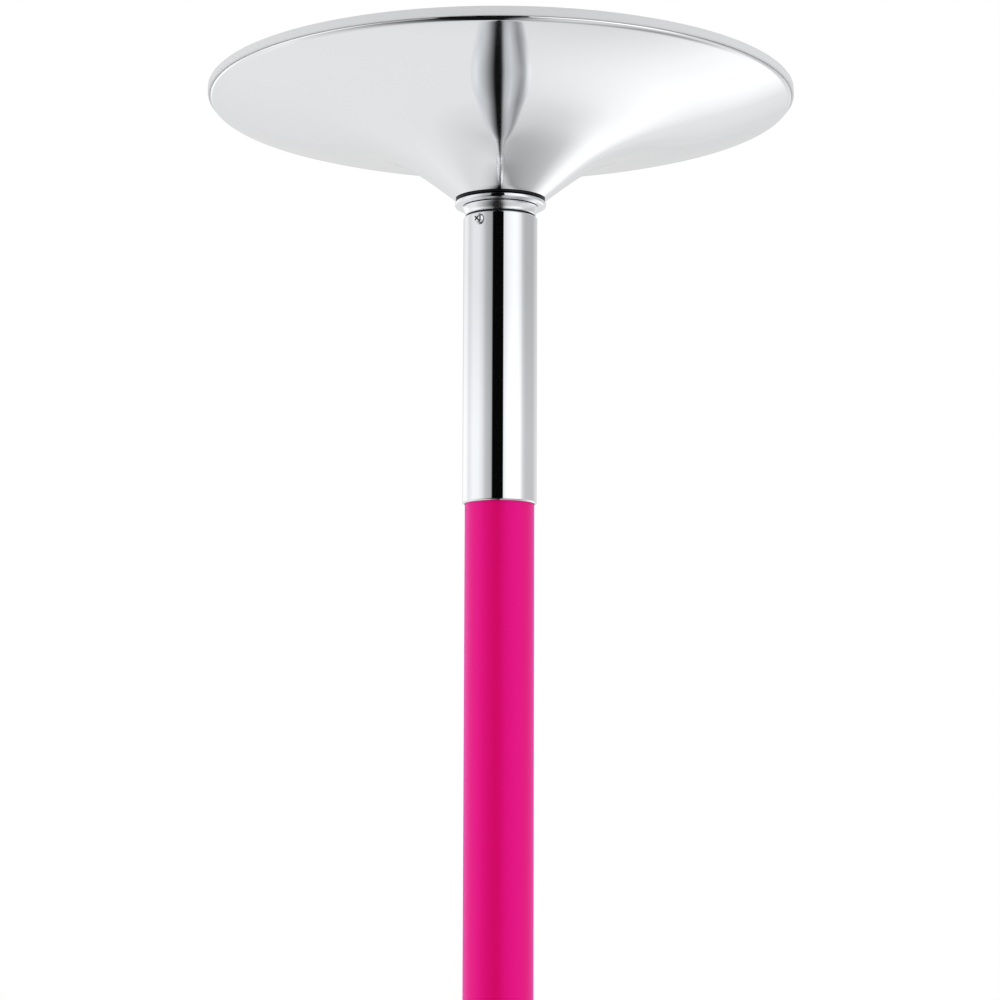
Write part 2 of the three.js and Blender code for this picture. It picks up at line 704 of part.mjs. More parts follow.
function buildPole() {
  const pole = new THREE.Group();
  const [lowerScrew, upperScrew] = jointScrewHeights();
  const panSeat = chromeTubeRadius + seatGap;
  const headings = around(screwsPerPlug, screwHeading);

  add(pole, 'foot_plug', footPlug(), bearingSteel());
  add(pole, 'lower_tube', chromeTube(lowerTubeLow, lowerTubeHigh, panHeightAtFoot()), chrome());
  add(pole, 'lower_core_bush', coreBush(coreLow, sleeveLow - seatGap), nylon());
  const lowerCore = gripTube(coreBore, coreRadius, coreLow, seamHeight, lowerScrew);
  const upperCore = gripTube(coreBore, coreRadius, seamHeight + seatGap, coreHigh, upperScrew);
  add(pole, 'core_lower', lowerCore, zincSteel());
  add(pole, 'core_upper', upperCore, zincSteel());
  add(pole, 'joint_shell_front', jointShell(true), castAluminium());
  add(pole, 'joint_shell_rear', jointShell(false), castAluminium());
  const jointScrewSize = [jointScrewRadius, jointScrewLength, jointScrewHeadRadius, jointScrewHeadHeight];
  jointScrewHeights().forEach((height, i) => {
    const name = ['joint_screw_lower', 'joint_screw_upper'][i];
    const screw = socketScrew(...jointScrewSize);
    addRadial(pole, name, screw, blackSteel(), jointHeadSeat(), height, jointScrewHeading);
  });
  const lowerSleeve = gripTube(sleeveBore, sleeveRadius, sleeveLow, seamHeight, lowerScrew);
  const upperSleeve = gripTube(sleeveBore, sleeveRadius, seamHeight + seatGap, sleeveHigh, upperScrew);
  add(pole, 'grip_sleeve_lower', lowerSleeve, pinkSilicone());
  add(pole, 'grip_sleeve_upper', upperSleeve, pinkSilicone());
  add(pole, 'upper_core_bush', coreBush(sleeveHigh + seatGap, coreHigh), nylon());
  add(pole, 'top_tube', chromeTube(topTubeLow, topTubeHigh, panHeightAtTop()), chrome());
  add(pole, 'top_hub', topHub(), chrome());
  add(pole, 'flange_ring', flangeRing(), chrome());
  headings.forEach((heading, i) => {
    const side = ['front', 'rear'][i];
    addRadial(pole, `hub_screw_${side}`, panScrew(), chrome(), panSeat, panHeightAtTop(), heading);
    addRadial(pole, `foot_plug_screw_${side}`, panScrew(), chrome(), panSeat, panHeightAtFoot(), heading);
  });
  const race = innerRace(upperBearing, upperBallRadius, upperBearingLow, upperBearingWidth);
  add(pole, 'upper_bearing_inner_ring', race, bearingSteel());
  const clipInner = hubShaftRadius - circlipGrip + seatGap;
  const clip = circlip(clipInner, hubShaftRadius + circlipReach, upperBearingHigh + seatGap);
  add(pole, 'hub_circlip', clip, blackSteel());
  return pole;
}

function coreBush(low, high) {
  return ring(coreRadius + seatGap, plugRadius, low, high, tubeFacets);
}

// Spindle: spigot in the thrust race, collar with the lock groove, keyed screw, blind hole at its head
function spindle() {
  const spigot = thrustRaceBore - seatGap;
  const spigotLow = upperRaceBack - thrustRaceHeight / 2;
  const grooveHalf = lockScrewTipRadius + slideGap;
  const grooveMouth = grooveHalf + lockGrooveDepth / 2;
  const grooveMiddle = lockScrewHeight();
  const grooveFloor = collarRadius - lockGrooveDepth;
  const clipLow = lowerBearingHigh + seatGap / 2;
  const clipHigh = clipLow + circlipHeight + seatGap;
  const clipFloor = spindleRadius - circlipGrip;
  const holeRadius = guideBoltRadius + slideGap;
  const holeFloor = spindleTop - guideBoltLength - seatGap;
  const body = turned([
    [0, spigotLow], [spigot, spigotLow], [spigot, collarBottom], [collarRadius, collarBottom],
    [collarRadius, grooveMiddle - grooveMouth], [grooveFloor, grooveMiddle - grooveHalf],
    [grooveFloor, grooveMiddle + grooveHalf], [collarRadius, grooveMiddle + grooveMouth],
    [collarRadius, collarTop], [spindleRadius, collarTop],
    [spindleRadius, clipLow], [clipFloor, clipLow], [clipFloor, clipHigh], [spindleRadius, clipHigh],
    [spindleRadius, spindleTop - spindleChamfer], [spindleRadius - spindleChamfer, spindleTop],
    [holeRadius, spindleTop], [holeRadius, holeFloor], [0, holeFloor],
  ], ringFacets);
  const keywayMiddle = spindleRadius - keyDepth / 2 + cutOverrun / 2;
  const keyway = block(keyDepth + cutOverrun, keyWidth, housingTop, spindleTop + cutOverrun, keywayMiddle);
  return cut(body, [keyway]);
}

function buildSpindle() {
  const group = new THREE.Group();
  add(group, 'spindle', spindle(), zincSteel());
  const upper = thrustRace(thrustRaceBore, thrustCircle, collarRadius, upperRaceBack, -1);
  add(group, 'thrust_race_upper', upper, bearingSteel());
  const race = innerRace(lowerBearing, lowerBallRadius, lowerBearingLow, lowerBearingWidth);
  add(group, 'lower_bearing_inner_ring', race, bearingSteel());
  const clipInner = spindleRadius - circlipGrip + seatGap;
  const clip = circlip(clipInner, spindleRadius + circlipReach, lowerBearingHigh + seatGap);
  add(group, 'spindle_circlip', clip, blackSteel());
  const guideLow = spindleTop + seatGap;
  const guideHigh = guideLow + guideHeight;
  const guide = ring(guideBoltRadius + seatGap, chromeBore - slideGap, guideLow, guideHigh, tubeFacets);
  add(group, 'spindle_guide', guide, nylon());
  const boltLength = guideBoltLength + guideHeight;
  const bolt = hexBolt(guideBoltRadius, boltLength, guideBoltHeadRadius, guideBoltHeadHeight);
  add(group, 'guide_bolt', bolt.translate(0, 0, guideHigh + seatGap), zincSteel());
  return group;
}

// Adjuster nut: a fluted hand nut that carries the foot plug
function adjusterNut() {
  const flutes = around(nutFlutes).map((heading) => {
    const flute = rod(fluteRadius, nutLow - cutOverrun, nutHigh + cutOverrun, screwFacets);
    flute.translate(nutRadius + fluteRadius - fluteDepth, 0, 0);
    return flute.rotateZ(THREE.MathUtils.degToRad(heading));
  });
  return cut(ring(nutBore, nutRadius, nutLow, nutHigh, nutFacets, nutChamfer), flutes);
}

function lockRing() {
  const middle = lockRingLow + lockRingHeight / 2;
  const inner = lockRingRadius - tommyHoleDepth;
  const outer = lockRingRadius + cutOverrun;
  const holes = around(tommyHoles).map(
    (heading) => spoke(tommyHoleRadius, inner, outer, middle, heading, screwFacets),
  );
  const high = lockRingLow + lockRingHeight;
  const body = ring(nutBore, lockRingRadius, lockRingLow, high, nutFacets, nutChamfer);
  return cut(body, holes);
}

function lockWasher() {
  const high = lockWasherLow + lockWasherHeight;
  const band = ring(nutBore, nutBore + lockWasherWidth, lockWasherLow, high, ringFacets);
  return join(band, [keyBlock(lockWasherLow, high)]);
}

// Foot
function floorPad() {
  const inner = plateRadius + seatGap;
  const high = floorPadThickness + floorPadLipHeight;
  return turned([
    [0, 0], [inner + floorPadLip, 0], [inner + floorPadLip, high],
    [inner, high], [inner, floorPadThickness], [0, floorPadThickness],
  ], footFacets);
}

function footScrewCircle() {
  return (housingRadius + housingFlangeRadius) / 2;
}

function footScrewHoles(low, high) {
  return around(footScrews, footScrewHeading).map((heading) => {
    const hole = rod(footScrewRadius + slideGap, low, high, screwFacets).translate(footScrewCircle(), 0, 0);
    return hole.rotateZ(THREE.MathUtils.degToRad(heading));
  });
}

function footScrewSeat() {
  return housingBottom + housingFlangeHeight + seatGap;
}

function basePlate() {
  const edge = [
    [plateRadius - plateChamfer, plateBottom], [plateRadius, plateBottom + plateChamfer],
    [plateRadius, plateTop - plateChamfer], [plateRadius - plateChamfer, plateTop],
  ];
  const disc = turned([[0, plateBottom], ...edge, [0, plateTop]], footFacets);
  const holeFloor = footScrewSeat() - footScrewLength - seatGap;
  return cut(disc, footScrewHoles(holeFloor, plateTop + cutOverrun));
}

function bearingHousing() {
  const floor = housingBottom + housingFloor;
  const clipHigh = housingClipLow + circlipHeight + seatGap / 2;
  const clipLow = housingClipLow - seatGap / 2;
  const flangeTop = housingBottom + housingFlangeHeight;
  const body = turned([
    [0, housingBottom], [housingFlangeRadius, housingBottom], [housingFlangeRadius, flangeTop],
    ...arc(housingRadius + housingRound, flangeTop + housingRound, housingRound, 270, 180, roundSteps),
    ...arc(housingRadius - housingRound, housingTop - housingRound, housingRound, 0, 90, roundSteps),
    [housingBore, housingTop], [housingBore, clipHigh], [housingBore + circlipGrip, clipHigh],
    [housingBore + circlipGrip, clipLow], [housingBore, clipLow], [housingBore, floor], [0, floor],
  ], nutFacets);
  const inner = housingBore - cutOverrun;
  const outer = housingRadius + cutOverrun;
  const lockHoles = around(lockScrews).map(
    (heading) => spoke(lockScrewRadius + slideGap, inner, outer, lockScrewHeight(), heading, screwFacets),
  );
  const screwHoles = footScrewHoles(housingBottom - cutOverrun, flangeTop + cutOverrun);
  return cut(body, [...lockHoles, ...screwHoles]);
}

function lockScrewHeight() {
  return (collarBottom + collarTop) / 2;
}

// Grub screw with a dog point towards the axis, its tip at zero
function lockScrew() {
  return turned([
    [0, 0], [lockScrewTipRadius, 0], [lockScrewTipRadius, lockScrewTipLength],
    [lockScrewRadius, lockScrewTipLength], [lockScrewRadius, lockScrewLength], [socketRadius, lockScrewLength],
    [socketRadius, lockScrewLength - socketDepth], [0, lockScrewLength - socketDepth],
  ], screwFacets);
}

function baseCover() {
  const rim = plateRadius - coverInset;
  const rimLow = plateTop + seatGap;
  const neck = nutRadius + coverNeckGap + coverWall;
  const neckHigh = housingTop + coverShoulder + coverWall;
  const curve = trumpet(
    [neck, neckHigh], [rim - coverHemRadius, rimLow + 2 * coverHemRadius],
    coverNeckSlope, coverRimSlope, coverNeckReachShare, coverRimReachShare, -1,
  );
  const outside = offsetPoints(curve, 0, shellSteps);
  const inside = offsetPoints(curve, -coverWall, shellSteps).reverse();
  const hem = arc(rim - coverHemRadius, rimLow + coverHemRadius, coverHemRadius, 90, -90, 2 * roundSteps);
  const lip = [
    [neck - coverWall, neckHigh], [neck - coverWall, neckHigh + coverLipHeight],
    [neck, neckHigh + coverLipHeight],
  ];
  return turned([...outside, ...hem.slice(1), ...inside.slice(1, -1), ...lip], footFacets);
}

function buildFoot() {
  const foot = new THREE.Group();
  add(foot, 'floor_pad', floorPad(), blackRubber());
  add(foot, 'base_plate', basePlate(), zincSteel());
  add(foot, 'bearing_housing', bearingHousing(), castAluminium());
  const footScrewSize = [footScrewRadius, footScrewLength, footScrewHeadRadius, footScrewHeadHeight];
  around(footScrews, footScrewHeading).forEach((heading, i) => {
    const arm = new THREE.Group();
    arm.rotation.z = THREE.MathUtils.degToRad(heading);
    const screw = add(arm, `housing_screw_${i + 1}`, socketScrew(...footScrewSize), blackSteel());
    screw.position.set(footScrewCircle(), 0, footScrewSeat());
    foot.add(arm);
  });
  const lower = thrustRace(thrustRaceBore + thrustRaceRelief, thrustCircle, thrustOuter, lowerRaceBack, 1);
  add(foot, 'thrust_race_lower', lower, bearingSteel());
  const race = outerRace(lowerBearing, lowerBallRadius, lowerBearingLow, lowerBearingWidth);
  add(foot, 'lower_bearing_outer_ring', race, bearingSteel());
  const clip = circlip(housingBore - circlipReach, housingBore + circlipGrip - seatGap, housingClipLow);
  add(foot, 'housing_circlip', clip, blackSteel());
  return foot;
}

// The whole pole
function buildAssembly() {
  const assembly = new THREE.Group();
  assembly.add(buildFoot(), buildSpindle(), buildPole(), buildDome());
  add(assembly, 'base_cover', baseCover(), chrome());
  const lockTip = collarRadius - lockGrooveDepth + slideGap + lockScrewTravel;
  around(lockScrews).forEach((heading, i) => {
    const name = `spin_lock_screw_${i + 1}`;
    addRadial(assembly, name, lockScrew(), blackSteel(), lockTip, lockScrewHeight(), heading);
  });
  add(assembly, 'adjuster_nut', adjusterNut(), chrome());
  add(assembly, 'lock_washer', lockWasher(), zincSteel());
  add(assembly, 'lock_ring', lockRing(), chrome());
  const lowerSize = [lowerBallRadius, lowerBearingLow, lowerBearingWidth, lowerBalls];
  const upperSize = [upperBallRadius, upperBearingLow, upperBearingWidth, upperBalls];
  const cages = {
    lower_ball_cage: radialCage(lowerBearing, ...lowerSize),
    upper_ball_cage: radialCage(upperBearing, ...upperSize),
    thrust_ball_cage: thrustCage(thrustCircle, thrustBallHeight, thrustBalls),
  };
  for (const [name, geometry] of Object.entries(cages)) add(assembly, name, geometry, bearingSteel());
  return assembly;
}

const group = buildAssembly();
export default group;
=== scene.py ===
"""Looks of a floor-to-ceiling dance pole: chrome dome, chrome tubes, silicone grip and screw-jack foot."""

import logging
import math
from dataclasses import dataclass, field
from enum import Enum

import bpy
from mathutils import Matrix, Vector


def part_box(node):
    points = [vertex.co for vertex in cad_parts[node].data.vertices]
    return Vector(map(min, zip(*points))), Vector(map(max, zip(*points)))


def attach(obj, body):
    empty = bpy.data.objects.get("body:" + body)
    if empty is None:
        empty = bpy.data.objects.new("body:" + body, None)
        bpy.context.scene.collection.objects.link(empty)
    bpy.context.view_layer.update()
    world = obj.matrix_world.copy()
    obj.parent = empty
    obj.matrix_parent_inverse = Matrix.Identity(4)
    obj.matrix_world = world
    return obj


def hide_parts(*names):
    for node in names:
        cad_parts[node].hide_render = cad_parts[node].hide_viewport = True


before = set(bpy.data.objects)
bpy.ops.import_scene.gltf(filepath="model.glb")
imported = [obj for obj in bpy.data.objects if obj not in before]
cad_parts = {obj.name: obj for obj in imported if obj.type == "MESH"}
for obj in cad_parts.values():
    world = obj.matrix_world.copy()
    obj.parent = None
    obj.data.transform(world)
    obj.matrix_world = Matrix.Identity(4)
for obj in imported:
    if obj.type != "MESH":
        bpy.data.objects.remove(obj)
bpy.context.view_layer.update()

LOG = logging.getLogger("dance_pole")
MM = 0.001
# Points nearer to each other than this are one point.
DOUBLES = 0.003 * MM
SMOOTH_ANGLE = math.radians(32)
Profile = list[tuple[float, float]]
Stops = tuple[tuple[float, float], ...]
Piece = bpy.types.Object
Tree = bpy.types.NodeTree
Socket = bpy.types.NodeSocket


class Body(Enum):
    """The moving groups that pieces ride on."""

    BASE = "base"
    COVER = "base_cover"
    LOCK_RIGHT = "spin_lock_1"
    LOCK_LEFT = "spin_lock_2"
    SPINDLE = "spindle"
    POLE = "pole"
    NUT = "adjuster_nut"
    WASHER = "lock_washer"
    RING = "lock_ring"
    DOME = "dome"


# Helpers


def span(node: str) -> tuple[float, float]:
    """Returns the lowest and the highest height of a node, in millimetres."""
    lower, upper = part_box(node)
    return lower.z / MM, upper.z / MM


def low(node: str) -> float:
    """Returns the lowest height of a node, in millimetres."""
    return span(node)[0]


def high(node: str) -> float:
    """Returns the highest height of a node, in millimetres."""
    return span(node)[1]


def arc(centre: tuple[float, float], radius: float, start: float, end: float, steps: int) -> Profile:
    """Makes the points of an arc.

    Args:
        centre: Radius and height of the arc's middle.
        radius: Radius of the arc.
        start: First angle, in degrees from the outward direction.
        end: Last angle, in degrees.
        steps: Number of steps.

    Returns:
        The points, as radius and height.
    """
    points = []
    for i in range(steps + 1):
        angle = math.radians(start + (end - start) * i / steps)
        points.append((centre[0] + radius * math.cos(angle), centre[1] + radius * math.sin(angle)))
    return points


def tube_section(
    ends: tuple[float, float], bore: float, outer: float, rounding: float, steps: int
) -> Profile:
    """Makes a tube's section with rounded outer corners.

    Args:
        ends: Its lowest and its highest height.
        bore: Its inner radius.
        outer: Its outer radius.
        rounding: Radius of the corners.
        steps: Steps in a corner.

    Returns:
        The points, as radius and height.
    """
    (bottom, top), r = ends, rounding
    lower = arc((outer - r, bottom + r), r, -90, 0, steps)
    return [(bore, bottom), *lower, *arc((outer - r, top - r), r, 0, 90, steps), (bore, top)]


def ring_section(ends: tuple[float, float], bore: float, outer: float, edge: float) -> Profile:
    """Makes a ring's section with its outer corners cut back.

    Args:
        ends: Its lowest and its highest height.
        bore: Its inner radius.
        outer: Its outer radius.
        edge: Width of the cut at a corner.

    Returns:
        The points, as radius and height.
    """
    bottom, top = ends
    return [
        (bore, bottom), (outer - edge, bottom), (outer, bottom + edge), (outer, top - edge),
        (outer - edge, top), (bore, top),
    ]


def evenly(count: int, first: float = 0.0) -> list[float]:
    """Returns headings in degrees that lie evenly round the pole."""
    return [first + 360 * i / count for i in range(count)]


def turned_by(degrees: float) -> Matrix:
    """Returns a turn about the pole's axis."""
    return Matrix.Rotation(math.radians(degrees), 4, "Z")


def out_by(reach: float, height: float = 0.0) -> Matrix:
    """Returns a move along +X and up, in millimetres."""
    return Matrix.Translation((reach * MM, 0, height * MM))


def spoke_at(radius: float, height: float, heading: float) -> list[Matrix]:
    """Returns the moves, the last one first, that lay a piece made along +Z on a spoke of the pole."""
    return [turned_by(heading), out_by(radius, height), Matrix.Rotation(math.pi / 2, 4, "Y")]


class Bench:
    """The modelling bench: shapes meshes with Blender's own operators."""

    @staticmethod
    def clear() -> None:
        """Leaves edit mode and deselects everything."""
        if bpy.context.mode != "OBJECT":
            bpy.ops.object.mode_set(mode="OBJECT")
        bpy.ops.object.select_all(action="DESELECT")

    @staticmethod
    def pick(obj: Piece) -> None:
        """Makes an object the only one selected, and active.

        Args:
            obj: The object.
        """
        Bench.clear()
        obj.select_set(True)
        bpy.context.view_layer.objects.active = obj

    @staticmethod
    def edit(obj: Piece) -> None:
        """Enters edit mode on an object, with all of it selected.

        Args:
            obj: The object.
        """
        Bench.pick(obj)
        bpy.ops.object.mode_set(mode="EDIT")
        bpy.ops.mesh.select_all(action="SELECT")

    @staticmethod
    def heal(obj: Piece) -> None:
        """Merges an object's doubles and points all its faces outwards.

        Args:
            obj: The object.
        """
        Bench.edit(obj)
        bpy.ops.mesh.remove_doubles(threshold=DOUBLES)
        bpy.ops.mesh.normals_make_consistent(inside=False)
        Bench.clear()

    @staticmethod
    def settle(obj: Piece, name: str = "") -> Piece:
        """Moves an object's place, turn and scale into its mesh.

        Args:
            obj: The object.
            name: The name that a new object gets.

        Returns:
            The object.
        """
        if name:
            obj.name = obj.data.name = name
        Bench.pick(obj)
        bpy.ops.object.transform_apply(location=True, rotation=True, scale=True)
        return obj

    @staticmethod
    def chain(name: str, profile: Profile) -> Piece:
        """Extrudes one point along a profile, and stays in edit mode with all of it selected.

        Args:
            name: Name of the new object.
            profile: Radius and height of each point, in millimetres.

        Returns:
            The new object.
        """
        Bench.clear()
        bpy.ops.mesh.primitive_plane_add(size=MM, location=(0, 0, 0))
        obj = Bench.settle(bpy.context.object, name)
        Bench.edit(obj)
        bpy.ops.mesh.merge(type="CENTER")
        bpy.ops.transform.translate(value=(profile[0][0] * MM, 0, profile[0][1] * MM))
        for (r0, z0), (r1, z1) in zip(profile, profile[1:]):
            step = ((r1 - r0) * MM, 0, (z1 - z0) * MM)
            bpy.ops.mesh.extrude_vertices_move(TRANSFORM_OT_translate={"value": step})
        bpy.ops.mesh.select_all(action="SELECT")
        return obj

    @staticmethod
    def turn(name: str, profile: Profile, steps: int = 96) -> Piece:
        """Spins a profile about the pole's axis into a closed solid.

        Args:
            name: Name of the new object.
            profile: Points that start and end on the axis, or a ring's section, which gets closed.
            steps: Steps round the axis.

        Returns:
            The new object.
        """
        solid = profile[0][0] == 0 and profile[-1][0] == 0
        obj = Bench.chain(name, profile if solid else [*profile, profile[0]])
        bpy.ops.mesh.spin(steps=steps, angle=math.tau, center=(0, 0, 0), axis=(0, 0, 1))
        Bench.heal(obj)
        return obj

    @staticmethod
    def modify(obj: Piece, kind: str, **settings: object) -> None:
        """Adds a modifier to an object and applies it.

        Args:
            obj: The object.
            kind: The modifier's type.
            settings: Its settings, by name.
        """
        Bench.pick(obj)
        modifier = obj.modifiers.new(kind.title(), kind)
        for key, value in settings.items():
            setattr(modifier, key, value)
        bpy.ops.object.modifier_apply(modifier=modifier.name)

    @staticmethod
    def bevel(obj: Piece, width: float, segments: int, angle: float) -> None:
        """Rounds the edges that are sharper than an angle, by a width in millimetres."""
        Bench.modify(
            obj, "BEVEL", width=width * MM, segments=segments, limit_method="ANGLE",
            angle_limit=math.radians(angle), use_clamp_overlap=True,
        )

    @staticmethod
    def cut(obj: Piece, cutter: Piece) -> None:
        """Cuts one object out of another and removes the cutter."""
        Bench.modify(obj, "BOOLEAN", operation="DIFFERENCE", solver="EXACT", object=cutter)
        bpy.data.objects.remove(cutter)

    @staticmethod
    def cut_round(obj: Piece, cutter: Piece, headings: list[float], *moves: Matrix) -> None:
        """Cuts copies of a cutter out of an object, round the pole's axis.

        Args:
            obj: The object.
            cutter: The cutter, which is removed afterwards.
            headings: Turn of each copy, in degrees.
            moves: What places a copy before its turn, the last one first.
        """
        for heading in headings:
            Bench.cut(obj, Bench.copy(cutter, "cutter", turned_by(heading), *moves))
        bpy.data.objects.remove(cutter)

    @staticmethod
    def rod(radius: float, start: float, end: float, sides: int = 32) -> Piece:
        """Adds a rod along Z.

        Args:
            radius: Its radius, in millimetres.
            start: Height of its lower end.
            end: Height of its upper end.
            sides: Its number of sides.

        Returns:
            The rod.
        """
        Bench.clear()
        bpy.ops.mesh.primitive_cylinder_add(
            vertices=sides, radius=radius * MM, depth=(end - start) * MM,
            location=(0, 0, (start + end) / 2 * MM),
        )
        return Bench.settle(bpy.context.object, "rod")

    @staticmethod
    def box(size: tuple[float, float, float], middle: tuple[float, float, float]) -> Piece:
        """Adds a box.

        Args:
            size: Its length, width and height, in millimetres.
            middle: Place of its middle.

        Returns:
            The box.
        """
        Bench.clear()
        bpy.ops.mesh.primitive_cube_add(size=MM, location=[v * MM for v in middle])
        bpy.context.object.scale = size
        return Bench.settle(bpy.context.object, "box")

    @staticmethod
    def place(obj: Piece, *moves: Matrix) -> Piece:
        """Moves an object and settles it.

        Args:
            obj: The object.
            moves: The moves, the last one first.

        Returns:
            The object.
        """
        matrix = Matrix.Identity(4)
        for move in moves:
            matrix = matrix @ move
        obj.matrix_world = matrix @ obj.matrix_world
        return Bench.settle(obj)

    @staticmethod
    def copy(obj: Piece, name: str, *moves: Matrix) -> Piece:
        """Copies an object with a mesh of its own, and moves the copy.

        Args:
            obj: The object to copy.
            name: The copy's name.
            moves: The copy's moves, the last one first.

        Returns:
            The copy.
        """
        twin = obj.copy()
        twin.data = obj.data.copy()
        twin.name = twin.data.name = name
        bpy.context.collection.objects.link(twin)
        return Bench.place(twin, *moves)

    @staticmethod
    def join(obj: Piece, other: Piece) -> None:
        """Joins two objects.

        Args:
            obj: The object that stays.
            other: The object that goes into it.
        """
        Bench.pick(obj)
        other.select_set(True)
        bpy.ops.object.join()

    @staticmethod
    def smooth(obj: Piece) -> None:
        """Shades an object smooth, apart from its sharp edges.

        Args:
            obj: The object.
        """
        Bench.pick(obj)
        bpy.ops.object.shade_smooth_by_angle(angle=SMOOTH_ANGLE)
        Bench.clear()

    @staticmethod
    def second_finish(obj: Piece, reach: float, heights: tuple[float, float], below: float) -> None:
        """Gives some faces the object's second material, here a black that paints shade into the screws'
        cross recesses and the hub's groove.

        Args:
            obj: The object.
            reach: Faces nearer to the axis than this get it, in millimetres, if they lie between the
                two heights.
            heights: The lowest and the highest height of those faces.
            below: All faces lower than this get it too.
        """
        for face in obj.data.polygons:
            height, out = face.center.z / MM, math.hypot(face.center.x, face.center.y) / MM
            if height < below or out < reach and heights[0] < height < heights[1]:
                face.material_index = 1


# Finishes


def linear(hex_colour: str) -> tuple[float, float, float, float]:
    """Turns an sRGB hex colour into linear values with full alpha."""
    values = [int(hex_colour[i : i + 2], 16) / 255 for i in (0, 2, 4)]
    return (*(v / 12.92 if v <= 0.04045 else ((v + 0.055) / 1.055) ** 2.4 for v in values), 1.0)


def empty_tree(owner: bpy.types.Material | bpy.types.World) -> Tree:
    """Turns on the nodes of a material or world and empties them.

    Args:
        owner: The material or world.

    Returns:
        Its node tree.
    """
    owner.use_nodes = True
    owner.node_tree.nodes.clear()
    return owner.node_tree


def add_node(
    tree: Tree, kind: str, settings: dict | None = None, links: dict | None = None
) -> bpy.types.Node:
    """Adds a node with its settings and its input links.

    Args:
        tree: The node tree.
        kind: The node's type name, after "ShaderNode".
        settings: Values of its inputs or of its properties, by name or index.
        links: What feeds its inputs, by name or index: a socket, or a node for its first output.

    Returns:
        The new node.
    """
    made = tree.nodes.new(f"ShaderNode{kind}")
    for key, value in (settings or {}).items():
        if isinstance(key, int) or key in made.inputs:
            made.inputs[key].default_value = value
        else:
            setattr(made, key, value)
    for key, source in (links or {}).items():
        socket = source.outputs[0] if isinstance(source, bpy.types.Node) else source
        tree.links.new(socket, made.inputs[key])
    return made


@dataclass(frozen=True)
class Finish:
    """A finish: what the surface is made of and how it was made."""

    name: str
    slot: str
    colour: str
    metallic: float
    roughness: float
    variation: float
    grain_mm: float
    bump_mm: float
    bump_strength: float
    shift: str = ""
    options: tuple[tuple[str, float | str], ...] = ()

    def material(self) -> bpy.types.Material:
        """Makes the finish's material on first use.

        Returns:
            The material.
        """
        found = bpy.data.materials.get(self.name)
        if found:
            return found
        made = bpy.data.materials.new(self.name)
        tree = empty_tree(made)
        options = {key: linear(v) if isinstance(v, str) else v for key, v in self.options}
        settings = {"Metallic": self.metallic, "Base Color": linear(self.colour), **options}
        shader = add_node(tree, "BsdfPrincipled", settings, self.surface(tree))
        add_node(tree, "OutputMaterial", links={"Surface": shader})
        return made

    def place(self, tree: Tree) -> Socket:
        """Returns the coordinates that the finish's patterns lie on."""
        return add_node(tree, "TexCoord").outputs["Object"]

    def pattern(self, tree: Tree) -> bpy.types.Node:
        """Returns the node of the finish's fine pattern, from 0 to 1."""
        settings = {"Scale": 1 / (self.grain_mm * MM), "Detail": 3.0, "Roughness": 0.55}
        return add_node(tree, "TexNoise", settings, {"Vector": self.place(tree)})

    def surface(self, tree: Tree) -> dict[str, bpy.types.Node | Socket]:
        """Makes the patterned inputs of the shader.

        Args:
            tree: The material's node tree.

        Returns:
            What feeds them, by the name of the input.
        """
        grain = self.pattern(tree)
        ends = {"To Min": self.roughness - self.variation, "To Max": self.roughness + self.variation}
        bump = {"Distance": self.bump_mm * MM, "Strength": self.bump_strength}
        sources = {
            "Roughness": add_node(tree, "MapRange", ends, {"Value": grain}),
            "Normal": add_node(tree, "Bump", bump, {"Height": grain}),
        }
        if self.shift:
            clouds = {"Scale": 1 / (12 * self.grain_mm * MM), "Detail": 2.0}
            broad = add_node(tree, "TexNoise", clouds, {"Vector": self.place(tree)})
            tints = {"data_type": "RGBA", 6: linear(self.colour), 7: linear(self.shift)}
            sources["Base Color"] = add_node(tree, "Mix", tints, {0: broad}).outputs[2]
        return sources


@dataclass(frozen=True)
class Turned(Finish):
    """A finish with fine rings about the pole's axis, as spinning or turning leaves them."""

    def pattern(self, tree: Tree) -> bpy.types.Node:
        """Makes rings that follow the distance from the axis and the height.

        Args:
            tree: The material's node tree.

        Returns:
            The node of the rings, from 0 to 1.
        """
        flat = add_node(tree, "VectorMath", {"operation": "MULTIPLY", 1: (1, 1, 0)}, {0: self.place(tree)})
        reach = add_node(tree, "VectorMath", {"operation": "LENGTH"}, {0: flat}).outputs["Value"]
        height = add_node(tree, "SeparateXYZ", links={0: self.place(tree)}).outputs["Z"]
        along = add_node(tree, "Math", {"operation": "ADD"}, {0: reach, 1: height})
        settings = {"noise_dimensions": "1D", "Scale": 1 / (self.grain_mm * MM), "Detail": 2.0}
        return add_node(tree, "TexNoise", settings, {"W": along})


# Decorative chrome over polished steel tube: a mirror, with a faint waviness that softens edges a little.
CHROME = Finish("chrome_plated_tube", "chrome", "ECEEF1", 1.0, 0.035, 0.012, 6.0, 0.002, 0.03)
# Chrome over a spun steel sheet: bright, with faint rings from the spinning roller.
SPUN_CHROME = Turned("spun_chrome_dome", "spun_chrome", "F0F1F3", 1.0, 0.055, 0.015, 0.9, 0.002, 0.03)
# Chrome over a lathe-turned collar: fine tool marks blur what it mirrors.
TURNED_COLLAR = Turned("turned_chrome_collar", "chrome", "F2F3F5", 1.0, 0.2, 0.04, 0.35, 0.003, 0.08)
# Platinum-cured silicone, moulded and matt: deep pink face on, and a magenta gloss towards the sides.
SILICONE = Finish(
    "moulded_pink_silicone", "pink_silicone", "F60052", 0.0, 0.38, 0.03, 0.6, 0.02, 0.1, "F20050",
    (
        ("IOR", 1.8), ("Specular IOR Level", 1.0), ("Specular Tint", "B83CFF"), ("Sheen Weight", 0.6),
        ("Sheen Roughness", 0.5), ("Sheen Tint", "FF30FF"),
    ),
)
